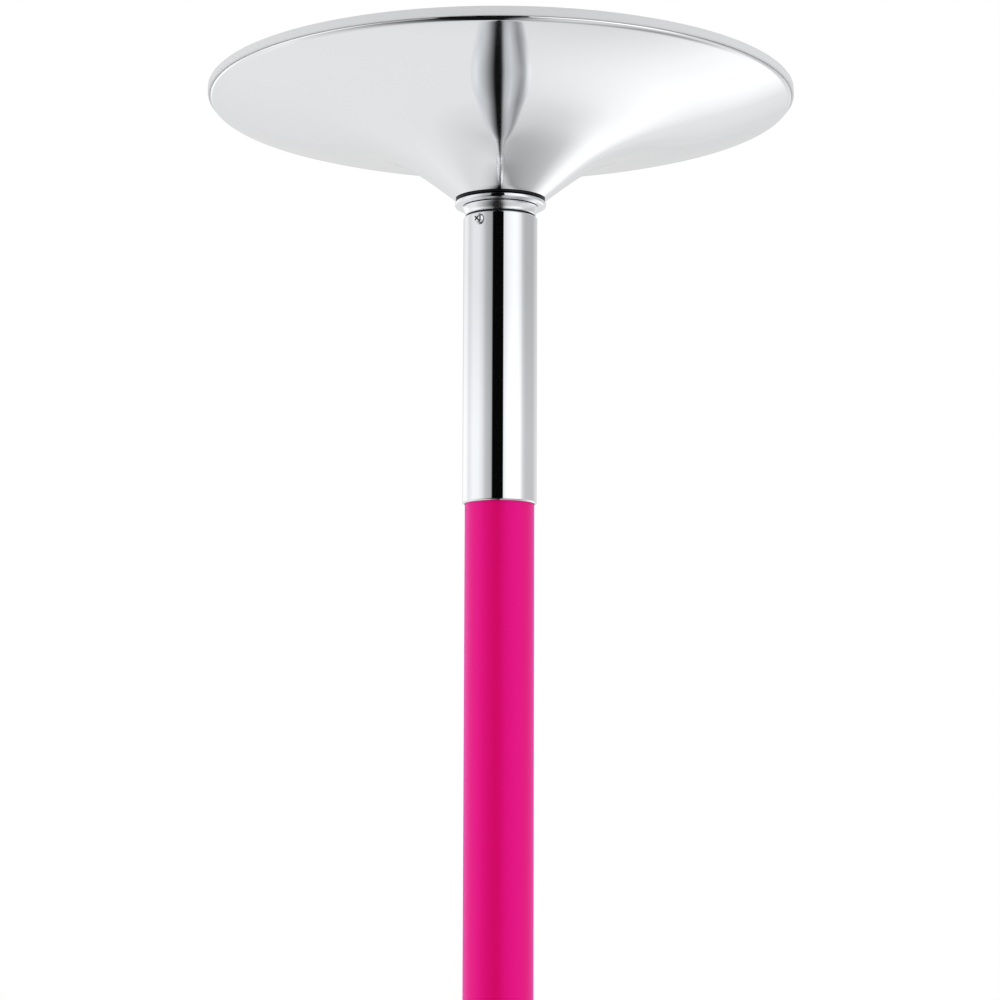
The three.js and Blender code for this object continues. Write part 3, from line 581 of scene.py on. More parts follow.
# Grey moulded rubber with a fine matt skin.
PAD_RUBBER = Finish("moulded_grey_rubber", "grey_rubber", "DEDFE0", 0.0, 0.6, 0.05, 1.6, 0.01, 0.05, "DBDCDE")
# Black moulded rubber of the floor pad, slightly bloomed.
FLOOR_RUBBER = Finish(
    "moulded_black_rubber", "black_rubber", "1D1D1F", 0.0, 0.7, 0.08, 0.7, 0.06, 0.3, "27272A"
)
# Bright zinc plate over turned or drawn steel: dull silver with cloudy passivation.
ZINC = Turned("zinc_plated_steel", "zinc_steel", "A9AEB2", 1.0, 0.38, 0.08, 0.8, 0.01, 0.2, "9BA3A8")
# Hardened and ground bearing steel: fine rings, bright.
GROUND_STEEL = Turned("ground_bearing_steel", "bearing_steel", "B4B8BC", 1.0, 0.22, 0.05, 0.4, 0.006, 0.15)
# Black oxide over alloy steel: almost black, oily half gloss. The same black is also painted shade in the pan
# screws' cross recesses and in the hub's groove under the collar.
BLACK_OXIDE_AND_PAINTED_SHADE = Finish(
    "black_oxide_steel_and_painted_shade", "black_steel", "222326", 0.85, 0.42, 0.07, 0.5, 0.01, 0.15, "2C2D30"
)
# Sand-cast aluminium, left as cast: grainy and pale.
CAST = Finish("cast_aluminium", "cast_aluminium", "9C9FA2", 1.0, 0.52, 0.08, 0.9, 0.06, 0.35, "8E9194")
# Natural nylon 6, turned: milky, with a soft gloss.
NYLON = Turned("turned_nylon", "nylon", "E9E6DC", 0.0, 0.45, 0.05, 0.6, 0.01, 0.15, "E2DED2")


# Pieces


@dataclass
class SubAssembly:
    """A group of pieces that is built and dressed together. Its gap is that between neighbours."""

    gap: float = 0.3
    made: list[Piece] = field(default_factory=list)

    def keep(self, obj: Piece, finish: Finish, body: Body, *nodes: str) -> None:
        """Dresses a finished piece and makes it ride on its body.

        Args:
            obj: The piece.
            finish: Its finish.
            body: The body that it rides on.
            nodes: The CAD nodes that it stands for.
        """
        if not obj.data.materials:
            obj.data.materials.append(finish.material())
        Bench.smooth(obj)
        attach(obj, body.value)
        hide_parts(*nodes)
        self.made.append(obj)

    def keep_copies(self, model: Piece, finish: Finish, places: list[tuple]) -> None:
        """Copies a modelled piece to its places and removes the model.

        Args:
            model: The piece to copy.
            finish: The copies' finish.
            places: Name, body, CAD node and moves of each copy.
        """
        for name, body, node, moves in places:
            self.keep(Bench.copy(model, name, *moves), finish, body, node)
        bpy.data.objects.remove(model)

    def report(self) -> None:
        """Logs each piece with its face count."""
        for obj in self.made:
            LOG.info("%s: %s, %d faces", type(self).__name__, obj.name, len(obj.data.polygons))


@dataclass
class PanScrews:
    """Two screws with a pan head and a cross recess painted black as shade, front and rear on a tube."""

    head: float = 3.5
    height: float = 2.3
    edge: float = 2.1
    shank: float = 2.0
    length: float = 7.0
    slot_length: float = 3.9
    slot_width: float = 0.95
    slot_depth: float = 1.4
    headings: tuple[tuple[str, float], ...] = (("front", -125.0), ("rear", 55.0))

    def fit(self, group: SubAssembly, seat: float, middle: float, name: str, node: str) -> None:
        """Makes one screw along +Z, with its seat at zero, and copies it to its places.

        Args:
            group: The sub-assembly that keeps the screws.
            seat: Radius of their seats, in millimetres.
            middle: Height of their middles.
            name: What the screws' names start with.
            node: What their CAD nodes' names start with.
        """
        edge, head, shank, length = self.edge, self.head, self.shank, self.length
        profile = [
            (0.0, -length), (shank - 0.4, -length), (shank, -length + 0.5), (shank, 0.0), (head - 0.15, 0.0),
            (head, 0.15), *arc((head - edge, self.height - edge), edge, 0, 86, 10),
            (0.0, self.height + 0.08),
        ]
        screw = Bench.turn("pan_screw", profile, 40)
        blade = Bench.box((self.slot_length, self.slot_width, 2 * self.slot_depth), (0, 0, self.height))
        Bench.cut_round(screw, blade, [45, 135])
        # The cross recess gets the black material: painted shade for its dark cross.
        for finish in (CHROME, BLACK_OXIDE_AND_PAINTED_SHADE):
            screw.data.materials.append(finish.material())
        Bench.second_finish(screw, self.slot_length / 2 + 0.1, (0, self.height - 0.3), -length - 1)
        group.keep_copies(screw, CHROME, [
            (f"{name}_{side}", Body.POLE, f"{node}_{side}", spoke_at(seat, middle, heading))
            for side, heading in self.headings
        ])


@dataclass
class CeilingDome(SubAssembly):
    """The dome against the ceiling: spun trumpet, pad ring, bearing cup and the nut that clamps it."""

    radius: float = 183.7
    depth: float = 60.7
    wall: float = 1.3
    neck_radius: float = 29.2
    neck_slope: float = 37.5
    # The sheet's slope in degrees at a few radii.
    bends: Stops = (
        (29.2, 39.4), (37, 38.0), (46, 36.6), (57, 33.7), (70, 26.7), (86, 20.6), (106, 13.4), (130, 10.5),
        (155, 13.6), (181.7, 18.6),
    )
    step: float = 2.0
    hem: float = 0.7
    lip_rounds: tuple[float, float] = (3.0, 2.5)
    lip_change: float = 50.0
    lip_bore: float = 26.12
    # How far from the lip the sheet's two sides end.
    under_trim: float = 0.5
    inside_trim: float = 0.15
    pad_overhang: float = 1.6
    pad_width: float = 27.0
    pad_inset: float = 2.5
    pad_round: float = 1.2
    cup_flange: float = 28.2
    cup_barrel: float = 25.82
    cup_bore: float = 23.82
    cup_recess: float = 20.0
    cup_roof: float = 3.0
    # The snap ring's groove: its depth, and its two edges above the ring's seat.
    groove_depth: float = 1.0
    groove_edges: tuple[float, float] = (-0.3, 1.5)
    nut_slot_cutter: float = 5.0
    nut_outer: float = 31.12
    nut_edge: float = 0.6
    nut_slots: int = 4
    nut_slot: float = 4.0
    steps: int = 160

    def slope_at(self, x: float) -> float:
        """Reads the sheet's slope off its table, eased between the rows.

        Args:
            x: The radius.

        Returns:
            The slope, in radians.
        """
        rows = self.bends
        i = max(k for k in range(len(rows) - 1) if k == 0 or rows[k][0] <= x)
        (x0, s0), (x1, s1) = rows[i], rows[i + 1]
        before, after = rows[max(i - 1, 0)], rows[min(i + 2, len(rows) - 1)]
        start = (s1 - before[1]) / (x1 - before[0]) * (x1 - x0)
        end = (after[1] - s0) / (after[0] - x0) * (x1 - x0)
        t = (x - x0) / (x1 - x0)
        ease = 3 * t**2 - 2 * t**3
        slope = s0 + (s1 - s0) * ease + start * (t**3 - 2 * t**2 + t) + end * (t**3 - t**2)
        return math.radians(slope)

    def sheet(self, offset: float) -> Profile:
        """Adds up the slopes from the neck to the lip.

        Args:
            offset: Distance above the sheet's lower side, in millimetres.

        Returns:
            The points, as radius and height.
        """
        x, z, end = self.neck_radius, low("dome_shell") + self.gap, self.bends[-1][0]
        steps = round((end - x) / self.step)
        run = (end - x) / steps
        points = []
        for i in range(steps + 1):
            slope = self.slope_at(x)
            points.append((x - offset * math.sin(slope), z + offset * math.cos(slope)))
            z += run * math.tan(self.slope_at(x + run / 2)) if i < steps else 0.0
            x += run
        return points

    def build(self) -> None:
        """Makes the dome's pieces."""
        self.build_shell()
        self.build_pad()
        self.build_cup()
        self.build_nut()

    def build_shell(self) -> None:
        """Spins the sheet: underside, upturned edge, upper side and the lip round the cup."""
        (neck, top), (wide, tight) = span("dome_shell"), self.lip_rounds
        tight_middle, turn = (self.radius - tight, top), math.radians(self.lip_change - 90)
        wide_middle = tuple(
            place + (tight - wide) * part
            for place, part in zip(tight_middle, (math.cos(turn), math.sin(turn)))
        )
        lip = [
            *arc(wide_middle, wide, self.bends[-1][1] - 90, self.lip_change - 90, 8),
            *arc(tight_middle, tight, self.lip_change - 90, 0, 8)[1:],
        ]
        under = [point for point in self.sheet(0) if point[0] < lip[0][0] - self.under_trim]
        roof = top - self.inside_trim
        inside = [point for point in self.sheet(self.wall)[::-1] if point[1] < roof]
        bore = self.lip_bore
        collar = [(bore, neck + self.wall), (bore, neck), (self.neck_radius - self.gap, neck)]
        shell = Bench.turn("spun_dome", [*under, *lip, *inside, *collar], self.steps)
        self.keep(shell, SPUN_CHROME, Body.DOME, "dome_shell")

    def build_pad(self) -> None:
        """Spins the pad ring that lies on the dome's rim."""
        outer, inner = self.radius + self.pad_overhang, self.radius - self.pad_width
        ends = low("dome_shell") + self.depth + 2 * self.hem + self.gap, high("ceiling_pad")
        edge = self.radius - self.pad_inset
        bed = [point for point in self.sheet(self.wall + self.gap) if inner + 0.5 < point[0] < edge]
        side = tube_section(ends, edge, outer, self.pad_round, 5)[:-1]
        section = [(inner, bed[0][1]), *bed, *side, (inner, ends[1])]
        self.keep(Bench.turn("pad_ring", section, self.steps), PAD_RUBBER, Body.DOME, "ceiling_pad")

    def build_cup(self) -> None:
        """Spins the bearing cup: flange under the dome's lip, barrel through it and a closed roof."""
        (bottom, top), neck = span("bearing_cup"), low("dome_shell") - self.gap
        foot, head = (neck + 2 * self.gap + edge for edge in self.groove_edges)
        step, roof = top - 2 * self.cup_roof, top - self.cup_roof
        recess, bore, groove = self.cup_recess, self.cup_bore, self.cup_bore + self.groove_depth
        flange, barrel = self.cup_flange, self.cup_barrel
        section = [
            (0, roof), (recess, roof), (recess, step), (bore, step), (bore, head), (groove, head),
            (groove, foot), (bore, foot), (bore, bottom), (flange - 0.3, bottom), (flange, bottom + 0.3),
            (flange, neck), (barrel, neck), (barrel, top - 1), (barrel - 1, top), (0, top),
        ]
        self.keep(Bench.turn("steel_bearing_cup", section), BLACK_OXIDE_AND_PAINTED_SHADE, Body.DOME, "bearing_cup")

    def build_nut(self) -> None:
        """Spins the ring nut in the dome's neck and cuts its wrench slots."""
        (bottom, top), slope = span("cup_nut"), math.radians(self.neck_slope)
        bore, outer, edge = self.lip_bore, self.nut_outer, self.nut_edge
        rise = (outer - self.neck_radius) * math.tan(slope) + self.wall / math.cos(slope)
        seat = low("dome_shell") + 2 * self.gap + rise
        section = [(bore, bottom), (outer, seat), (outer, top - edge), (outer - edge, top), (bore, top)]
        nut = Bench.turn("cup_ring_nut", section)
        size = (self.nut_slot_cutter, self.nut_slot, top - seat + 4)
        slot = Bench.box(size, (outer, 0, (seat + top) / 2 + size[2] / 2))
        Bench.cut_round(nut, slot, evenly(self.nut_slots))
        self.keep(nut, ZINC, Body.DOME, "cup_nut")


@dataclass
class TopHub(SubAssembly):
    """The hub in the top tube: tapered collar over a groove painted black as shade, bead ring, and two proud
    screws.
    """

    tube_radius: float = 23.3
    plug_radius: float = 21.7
    groove_radius: float = 21.8
    groove: float = 1.1
    collar_foot: float = 22.4
    collar_top: float = 24.1
    collar_height: float = 5.3
    collar_edge: float = 0.5
    crown_edge: float = 0.25
    bead_radius: float = 28.9
    bead_round: float = 1.55
    sink: float = 0.35
    neck: float = 15.0
    shaft: float = 12.2
    bearing_width: float = 12.0
    clip_land: float = 2.0
    screw_margin: float = 1.1

    def build(self) -> None:
        """Makes the hub's pieces."""
        self.build_hub()
        self.build_bead()
        middle = high("top_tube") - self.screw_margin - PanScrews.head
        PanScrews().fit(self, self.tube_radius + self.gap, middle, "hub_pan_screw", "hub_screw")

    def build_hub(self) -> None:
        """Spins the hub: spigot, groove, collar, neck and the bearing's shaft."""
        (bottom, top), seat = span("top_hub"), high("top_tube") + self.gap
        foot = seat + self.groove
        head = foot + self.collar_height
        neck_top = top - self.clip_land - self.bearing_width - 2 * self.gap
        edge, rest, plug, shaft = self.collar_edge, self.crown_edge, self.plug_radius, self.shaft
        section = [
            (0, bottom), (plug - 1, bottom), (plug, bottom + 1), (plug, seat), (self.groove_radius, seat),
            (self.groove_radius, foot), (self.collar_foot - edge, foot), (self.collar_foot, foot + edge),
            *self.swell(foot, head), (self.collar_top, head - rest), (self.collar_top - rest, head),
            (self.neck, head), (self.neck, neck_top), (shaft, neck_top), (shaft, top - 0.5),
            (shaft - 0.5, top), (0, top),
        ]
        hub = Bench.turn("turned_hub", section, 128)
        # The groove under the collar gets the black material: painted shade for the dark line there. The
        # neck, shaft and spigot get it too.
        for finish in (TURNED_COLLAR, BLACK_OXIDE_AND_PAINTED_SHADE):
            hub.data.materials.append(finish.material())
        Bench.second_finish(hub, self.neck + 0.5, (bottom - 1, top + 1), foot + 0.05)
        self.keep(hub, CHROME, Body.POLE, "top_hub")

    def swell(self, foot: float, head: float) -> Profile:
        """Makes the collar's hollow flank.

        Args:
            foot: Height of the collar's foot.
            head: Height of its head.

        Returns:
            The points, as radius and height.
        """
        spread = self.collar_top - self.collar_foot
        shares = (0.2, 0.35, 0.5, 0.65, 0.78, 0.9)
        return [(self.collar_foot + spread * t**1.8, foot + (head - foot) * t) for t in shares]

    def build_bead(self) -> None:
        """Spins the rounded bead ring between collar and dome."""
        bottom, top = (height - self.sink for height in span("flange_ring"))
        section = tube_section((bottom, top), self.neck + self.gap, self.bead_radius, self.bead_round, 8)
        self.keep(Bench.turn("bead_ring", section, 128), CHROME, Body.POLE, "flange_ring")


# Length and width of the keys in the spindle's keyway, and how far out their middle lies.
KEY_LENGTH, KEY_WIDTH, KEY_MIDDLE = 3.3, 4.4, 13.75


def spindle_key(ends: tuple[float, float]) -> Piece:
    """Adds the key that reaches from a ring into the spindle's keyway, between two heights."""
    bottom, top = ends
    return Bench.box((KEY_LENGTH, KEY_WIDTH, top - bottom), (KEY_MIDDLE, 0, (bottom + top) / 2))


@dataclass
class PoleTubes(SubAssembly):
    """The chrome end tubes, the two silicone sleeves and the plug in the lower tube."""

    chrome_radius: float = 23.3
    chrome_bore: float = 22.0
    sleeve_radius: float = 21.7
    sleeve_bore: float = 19.35
    sleeve_round: float = 0.9
    tube_round: float = 1.1
    hole: float = 3.4
    hole_inset: float = 37.3
    spindle_bore: float = 14.3
    plug_round: float = 0.6
    plug_edge: float = 0.3
    screw_inset: float = 5.5

    def build(self) -> None:
        """Makes the tubes, sleeves and plug."""
        for node in ("top_tube", "lower_tube"):
            section = tube_section(span(node), self.chrome_bore, self.chrome_radius, self.tube_round, 8)
            self.keep(Bench.turn(f"polished_{node}", section, 160), CHROME, Body.POLE, node)
        seam = high("grip_sleeve_lower")
        self.build_sleeve("lower", seam + self.gap / 2 - self.hole_inset)
        self.build_sleeve("upper", seam + self.hole_inset)
        self.build_plug()

    def build_sleeve(self, end: str, hole_height: float) -> None:
        """Spins a silicone sleeve and cuts its access hole.

        Args:
            end: Which sleeve.
            hole_height: Height of the hole's middle.
        """
        node = f"grip_sleeve_{end}"
        section = tube_section(span(node), self.sleeve_bore, self.sleeve_radius, self.sleeve_round, 5)
        sleeve = Bench.turn(f"silicone_sleeve_{end}", section, 128)
        drill = Bench.rod(self.hole, 15, 26)
        Bench.cut(sleeve, Bench.place(drill, *spoke_at(0, hole_height, 90)))
        Bench.bevel(sleeve, 0.3, 2, 50)
        # The chrome mirrors no pink.
        sleeve.visible_glossy = False
        self.keep(sleeve, SILICONE, Body.POLE, node)

    def build_plug(self) -> None:
        """Spins the keyed plug under the lower tube, and makes its screws."""
        (bottom, top), flange = span("foot_plug"), low("lower_tube") - self.gap
        outer, r, edge = self.chrome_radius, self.plug_round, self.plug_edge
        bore, inner = self.spindle_bore, self.chrome_bore - self.gap
        section = [
            (bore, bottom), *arc((outer - r, bottom + r), r, -90, 0, 4), (outer, flange - edge),
            (outer - edge, flange), (inner, flange), (inner, top), (bore, top),
        ]
        plug = Bench.turn("turned_foot_plug", section)
        Bench.join(plug, spindle_key((bottom, top)))
        self.keep(plug, GROUND_STEEL, Body.POLE, "foot_plug")
        middle = low("lower_tube") + self.screw_inset + PanScrews.head
        PanScrews().fit(self, outer + self.gap, middle, "foot_pan_screw", "foot_plug_screw")


@dataclass
class Jack(SubAssembly):
    """The screw jack in the foot: keyed spindle, fluted hand nut, lock washer and lock ring."""

    spindle_radius: float = 14.0
    tail_radius: float = 13.7
    collar_radius: float = 25.8
    collar_height: float = 10.0
    lock_groove: float = 2.2
    lock_groove_foot: float = 1.7
    lock_groove_flank: float = 0.8
    bolt_bore: float = 4.3
    bolt_depth: float = 18.3
    thread_root: float = 12.4
    thread_sink: float = 0.4
    thread_end: float = 1.5
    # Parts of the pitch: height of the first ridge, half its foot, half its crest, and what both ends leave.
    thread_start: float = 0.35
    thread_foot: float = 0.33
    thread_crest: float = 0.18
    thread_margin: float = 0.7
    thread_steps: int = 28
    pitch: float = 5.0
    key_width: float = 5.0
    key_depth: float = 2.2
    key_cutter: float = 4.2
    nut_bore: float = 14.3
    nut_radius: float = 30.0
    nut_edge: float = 1.5
    flutes: int = 8
    flute_radius: float = 5.0
    flute_depth: float = 1.8
    ring_radius: float = 27.0
    tommy_holes: int = 4
    tommy_radius: float = 3.0
    tommy_depth: float = 7.0
    washer_radius: float = 23.3

    def build(self) -> None:
        """Makes the jack's pieces."""
        self.build_spindle()
        self.build_nut()
        self.build_lock_ring()
        self.build_washer()

    def ridge(self, bottom: float, top: float) -> Piece:
        """Makes the helical ridge of the spindle's thread.

        Args:
            bottom: Lowest height.
            top: Highest height.

        Returns:
            The ridge, a closed solid.
        """
        foot, crest, pitch = self.thread_root - self.thread_sink, self.spindle_radius, self.pitch
        start = bottom + pitch * self.thread_start
        wide, narrow = pitch * self.thread_foot, pitch * self.thread_crest
        flank = [
            (foot, start - wide), (crest, start - narrow), (crest, start + narrow), (foot, start + wide),
        ]
        turns = int((top - bottom - pitch * self.thread_margin) / pitch)
        obj = Bench.chain("thread", [*flank, flank[0]])
        bpy.ops.mesh.remove_doubles(threshold=DOUBLES)
        Bench.modify(
            obj, "SCREW", screw_offset=pitch * MM, iterations=turns, steps=self.thread_steps,
            render_steps=self.thread_steps, axis="Z", use_normal_calculate=False,
        )
        Bench.edit(obj)
        bpy.ops.mesh.fill_holes(sides=0)
        Bench.heal(obj)
        return obj

    def build_spindle(self) -> None:
        """Turns the spindle, screws its thread on and cuts the keyway through both."""
        (bottom, top), housing = span("spindle"), high("bearing_housing")
        tail, wide, r, root = self.tail_radius, self.collar_radius, self.spindle_radius, self.thread_root
        collar_high = low("lower_bearing_inner_ring") - self.gap
        collar_low = collar_high - self.collar_height
        foot, flank, groove = self.lock_groove_foot, self.lock_groove_flank, wide - self.lock_groove
        thread_low, end = housing + 0.8, self.thread_end
        section = [
            (0, bottom), (tail, bottom), (tail, collar_low), (wide, collar_low), (wide, collar_low + foot),
            (groove, collar_low + foot + flank), (groove, collar_high - foot - flank),
            (wide, collar_high - foot), (wide, collar_high), (r, collar_high), (r, housing),
            (root, thread_low), (root, top - end), (root - end, top), (self.bolt_bore, top),
            (self.bolt_bore, top - self.bolt_depth), (0, top - self.bolt_depth),
        ]
        core, ridge = Bench.turn("threaded_spindle", section), self.ridge(thread_low, top - end)
        length = top - housing
        middle = (r + self.key_cutter / 2 - self.key_depth, 0, housing + length / 2 + 1)
        for part in (core, ridge):
            Bench.cut(part, Bench.box((self.key_cutter, self.key_width, length + 2), middle))
        Bench.join(core, ridge)
        self.keep(core, ZINC, Body.SPINDLE, "spindle")

    def build_nut(self) -> None:
        """Turns the hand nut and mills its flutes."""
        bottom, top = span("adjuster_nut")
        section = ring_section((bottom, top), self.nut_bore, self.nut_radius, self.nut_edge)
        nut = Bench.turn("fluted_hand_nut", section)
        mill = Bench.rod(self.flute_radius, bottom - 3, top + 3, 40)
        reach = self.nut_radius + self.flute_radius - self.flute_depth
        Bench.cut_round(nut, mill, evenly(self.flutes), out_by(reach))
        Bench.bevel(nut, 0.45, 3, 30)
        self.keep(nut, CHROME, Body.NUT, "adjuster_nut")

    def build_lock_ring(self) -> None:
        """Turns the lock ring and drills its tommy-bar holes."""
        bottom, top = span("lock_ring")
        section = ring_section((bottom, top), self.nut_bore, self.ring_radius, self.nut_edge)
        ring = Bench.turn("tommy_lock_ring", section)
        drill = Bench.rod(self.tommy_radius, self.ring_radius - self.tommy_depth, self.ring_radius + 3)
        Bench.cut_round(ring, drill, evenly(self.tommy_holes), *spoke_at(0, (bottom + top) / 2, 0))
        Bench.bevel(ring, 0.3, 2, 40)
        self.keep(ring, CHROME, Body.RING, "lock_ring")

    def build_washer(self) -> None:
        """Turns the keyed washer between nut and lock ring."""
        ends = span("lock_washer")
        washer = Bench.turn("keyed_washer", ring_section(ends, self.nut_bore, self.washer_radius, 0.3))
        Bench.join(washer, spindle_key(ends))
        self.keep(washer, ZINC, Body.WASHER, "lock_washer")


@dataclass
class Foot(SubAssembly):
    """The foot: rubber pad, steel plate, bearing housing with its screws, and the chrome cover."""

    plate_radius: float = 120.0
    plate_edge: float = 1.0
    pad_lip: float = 3.5
    pad_floor: float = 5.0
    pad_foot_round: float = 0.6
    pad_round: float = 1.2
    housing_radius: float = 36.8
    housing_bore: float = 27.8
    housing_round: float = 2.0
    housing_edge: float = 0.5
    housing_floor: float = 4.0
    flange_radius: float = 51.8
    flange_height: float = 8.0
    # The snap ring's groove: its depth, and its two edges above the ring's lower side.
    groove_depth: float = 1.0
    groove_edges: tuple[float, float] = (-0.15, 1.35)
    screw_bore: float = 3.3
    lock_bore: float = 4.3
    screw_circle: float = 44.3
    screw_headings: tuple[float, ...] = (45.0, 135.0, 225.0, 315.0)
    cap_head: float = 5.0
    cap_height: float = 6.0
    cap_shank: float = 3.0
    cap_length: float = 11.0
    socket: float = 2.64
    dog_tip: float = 27.1
    dog_length: float = 17.0
    dog_nose: float = 2.2
    dog_land: float = 4.0
    dog_root: float = 3.4
    dog_crest: float = 4.0
    dog_pitch: float = 1.25
    dog_ridges: int = 10
    cover_wall: float = 1.2
    cover_hem: float = 1.0
    cover_neck: float = 33.8
    cover_rim: float = 118.6
    cover_slopes: tuple[float, float] = (50.0, 5.0)
    cover_shares: tuple[float, float] = (0.3, 0.5)
    cover_steps: int = 40
    lip: float = 3.0

    def build(self) -> None:
        """Makes the foot's pieces."""
        self.build_pad()
        self.build_plate()
        self.build_housing()
        self.build_screws()
        self.build_lock_screws()
        self.build_cover()

    def build_pad(self) -> None:
        """Spins the rubber pad with its lip round the plate."""
        inner, top = self.plate_radius + self.gap, high("floor_pad")
        outer, foot, r = inner + self.pad_lip, self.pad_foot_round, self.pad_round
        section = [
            (0, 0), *arc((outer - foot, foot), foot, -90, 0, 4), *arc((outer - r, top - r), r, 0, 90, 5),
            (inner, top), (inner, self.pad_floor), (0, self.pad_floor),
        ]
        self.keep(Bench.turn("moulded_floor_pad", section, 128), FLOOR_RUBBER, Body.BASE, "floor_pad")

    def build_plate(self) -> None:
        """Spins the steel plate."""
        section = ring_section(span("base_plate"), 0, self.plate_radius, self.plate_edge)
        self.keep(Bench.turn("steel_plate", section, 128), ZINC, Body.BASE, "base_plate")

    def build_housing(self) -> None:
        """Spins the cast housing and drills it for its screws."""
        bottom, top = span("bearing_housing")
        foot, head = (low("housing_circlip") + edge for edge in self.groove_edges)
        wide, body, bore = self.flange_radius, self.housing_radius, self.housing_bore
        flange, r, edge = bottom + self.flange_height, self.housing_round, self.housing_edge
        floor, groove = bottom + self.housing_floor, bore + self.groove_depth
        section = [
            (0, bottom), (wide - edge, bottom), (wide, bottom + edge),
            *arc((wide - r, flange - r), r, 0, 90, 5),
            *arc((body + r, flange + r), r, 270, 180, 5), *arc((body - r, top - r), r, 0, 90, 5),
            (bore + edge, top), (bore, top - edge), (bore, head), (groove, head), (groove, foot),
            (bore, foot), (bore, floor), (0, floor),
        ]
        housing = Bench.turn("cast_housing", section)
        drill = Bench.rod(self.screw_bore, bottom - 2, flange + 2)
        Bench.cut_round(housing, drill, self.screw_headings, out_by(self.screw_circle))
        drill = Bench.rod(self.lock_bore, bore - 2, body + 3)
        Bench.cut_round(housing, drill, evenly(2), *spoke_at(0, self.lock_height(), 0))
        self.keep(housing, CAST, Body.BASE, "bearing_housing")

    def lock_height(self) -> float:
        """Returns the height of the spin-lock screws."""
        return sum(span("spin_lock_screw_1")) / 2

    def build_screws(self) -> None:
        """Makes the cap screws that hold the housing."""
        top, head, shank = high("housing_screw_1"), self.cap_head, self.cap_shank
        seat = top - self.cap_height
        tip = seat - self.cap_length
        profile = [
            (0, tip), (shank - 0.4, tip), (shank, tip + 0.4), (shank, seat), (head - 0.2, seat),
            (head, seat + 0.2), (head, top - 0.6), (head - 0.6, top), (0, top),
        ]
        screw = Bench.turn("cap_screw", profile, 40)
        Bench.cut(screw, Bench.rod(self.socket, seat + 3, seat + 8, 6))
        self.keep_copies(screw, BLACK_OXIDE_AND_PAINTED_SHADE, [
            (f"cap_screw_{i}", Body.BASE, f"housing_screw_{i}",
             (turned_by(heading), out_by(self.screw_circle)))
            for i, heading in enumerate(self.screw_headings, 1)
        ])

    def build_lock_screws(self) -> None:
        """Makes the dog-point screws that stop the spin."""
        length, nose, land = self.dog_length, self.dog_nose, self.dog_land
        root, crest = self.dog_root, self.dog_crest
        profile = [(0, 0), (nose - 0.2, 0), (nose, 0.3), (nose, land), (root, land)]
        for i in range(self.dog_ridges):
            start = land + 0.4 + self.dog_pitch * i
            profile += [(root, start), (crest, start + 0.45), (crest, start + 0.6), (root, start + 1.05)]
        screw = Bench.turn("dog_screw", [*profile, (root, length), (0, length)], 36)
        Bench.cut(screw, Bench.rod(self.socket, length - 3.5, length + 2, 6))
        self.keep_copies(screw, BLACK_OXIDE_AND_PAINTED_SHADE, [
            (f"dog_point_screw_{i}", body, f"spin_lock_screw_{i}",
             spoke_at(self.dog_tip, self.lock_height(), heading))
            for i, heading, body in ((1, 0, Body.LOCK_RIGHT), (2, 180, Body.LOCK_LEFT))
        ])

    def cover_curve(self, offset: float) -> Profile:
        """Makes points along the cover's trumpet curve, from its neck to its rim.

        Args:
            offset: Distance outwards from the cover's outer side.

        Returns:
            The points, as radius and height.
        """
        start = self.cover_neck, high("base_cover") - self.lip
        end = self.cover_rim - self.cover_hem, low("base_cover") + 2 * self.cover_hem
        neck, rim = (math.radians(slope) for slope in self.cover_slopes)
        near, far = ((end[0] - start[0]) * share for share in self.cover_shares)
        handles = (
            start, (start[0] + near * math.cos(neck), start[1] - near * math.sin(neck)),
            (end[0] - far * math.cos(rim), end[1] + far * math.sin(rim)), end,
        )
        points = []
        for i in range(self.cover_steps + 1):
            t = math.sin(math.pi / 2 * i / self.cover_steps)
            s = 1 - t
            weights = (s**3, 3 * s * s * t, 3 * s * t * t, t**3)
            slopes = (-3 * s * s, 3 * s * s - 6 * s * t, 6 * s * t - 3 * t * t, 3 * t * t)
            (r, z), (dr, dz) = (
                [sum(w * handle[k] for w, handle in zip(row, handles)) for k in (0, 1)]
                for row in (weights, slopes)
            )
            size = math.hypot(dr, dz)
            points.append((r - dz / size * offset, z + dr / size * offset))
        return points

    def build_cover(self) -> None:
        """Spins the trumpet cover with its hem and neck lip."""
        (bottom, top), r, neck = span("base_cover"), self.cover_hem, self.cover_neck
        bore, edge = neck - self.cover_wall, self.gap
        lip = [
            (bore, top - self.lip), (bore, top - edge), (bore + edge, top), (neck - edge, top),
            (neck, top - edge),
        ]
        hem = arc((self.cover_rim - r, bottom + r), r, 90, -90, 10)[1:]
        inside = self.cover_curve(-self.cover_wall)[-2:0:-1]
        section = [*self.cover_curve(0), *hem, *inside, *lip]
        self.keep(Bench.turn("spun_foot_cover", section, 160), SPUN_CHROME, Body.COVER, "base_cover")


class CarriedNodes:
    """The CAD nodes that stay as they are, most of them inside: bearings, cores, joint and bushes."""

    finishes: dict[str, Finish] = {
        "race": GROUND_STEEL, "ring": GROUND_STEEL, "cage": NYLON, "circlip": BLACK_OXIDE_AND_PAINTED_SHADE,
        "core_lower": CHROME, "core_upper": CHROME, "bush": NYLON, "shell": CAST, "screw": BLACK_OXIDE_AND_PAINTED_SHADE,
        "guide_bolt": ZINC, "guide": NYLON,
    }

    def dress(self) -> None:
        """Gives every shown CAD node its finish."""
        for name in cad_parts:
            obj = bpy.data.objects[name]
            if obj.hide_render:
                continue
            material = next(finish for key, finish in self.finishes.items() if key in name).material()
            for place in obj.material_slots:
                place.material = material
            LOG.info("CarriedNodes: %s in %s", name, material.name)


# Studio


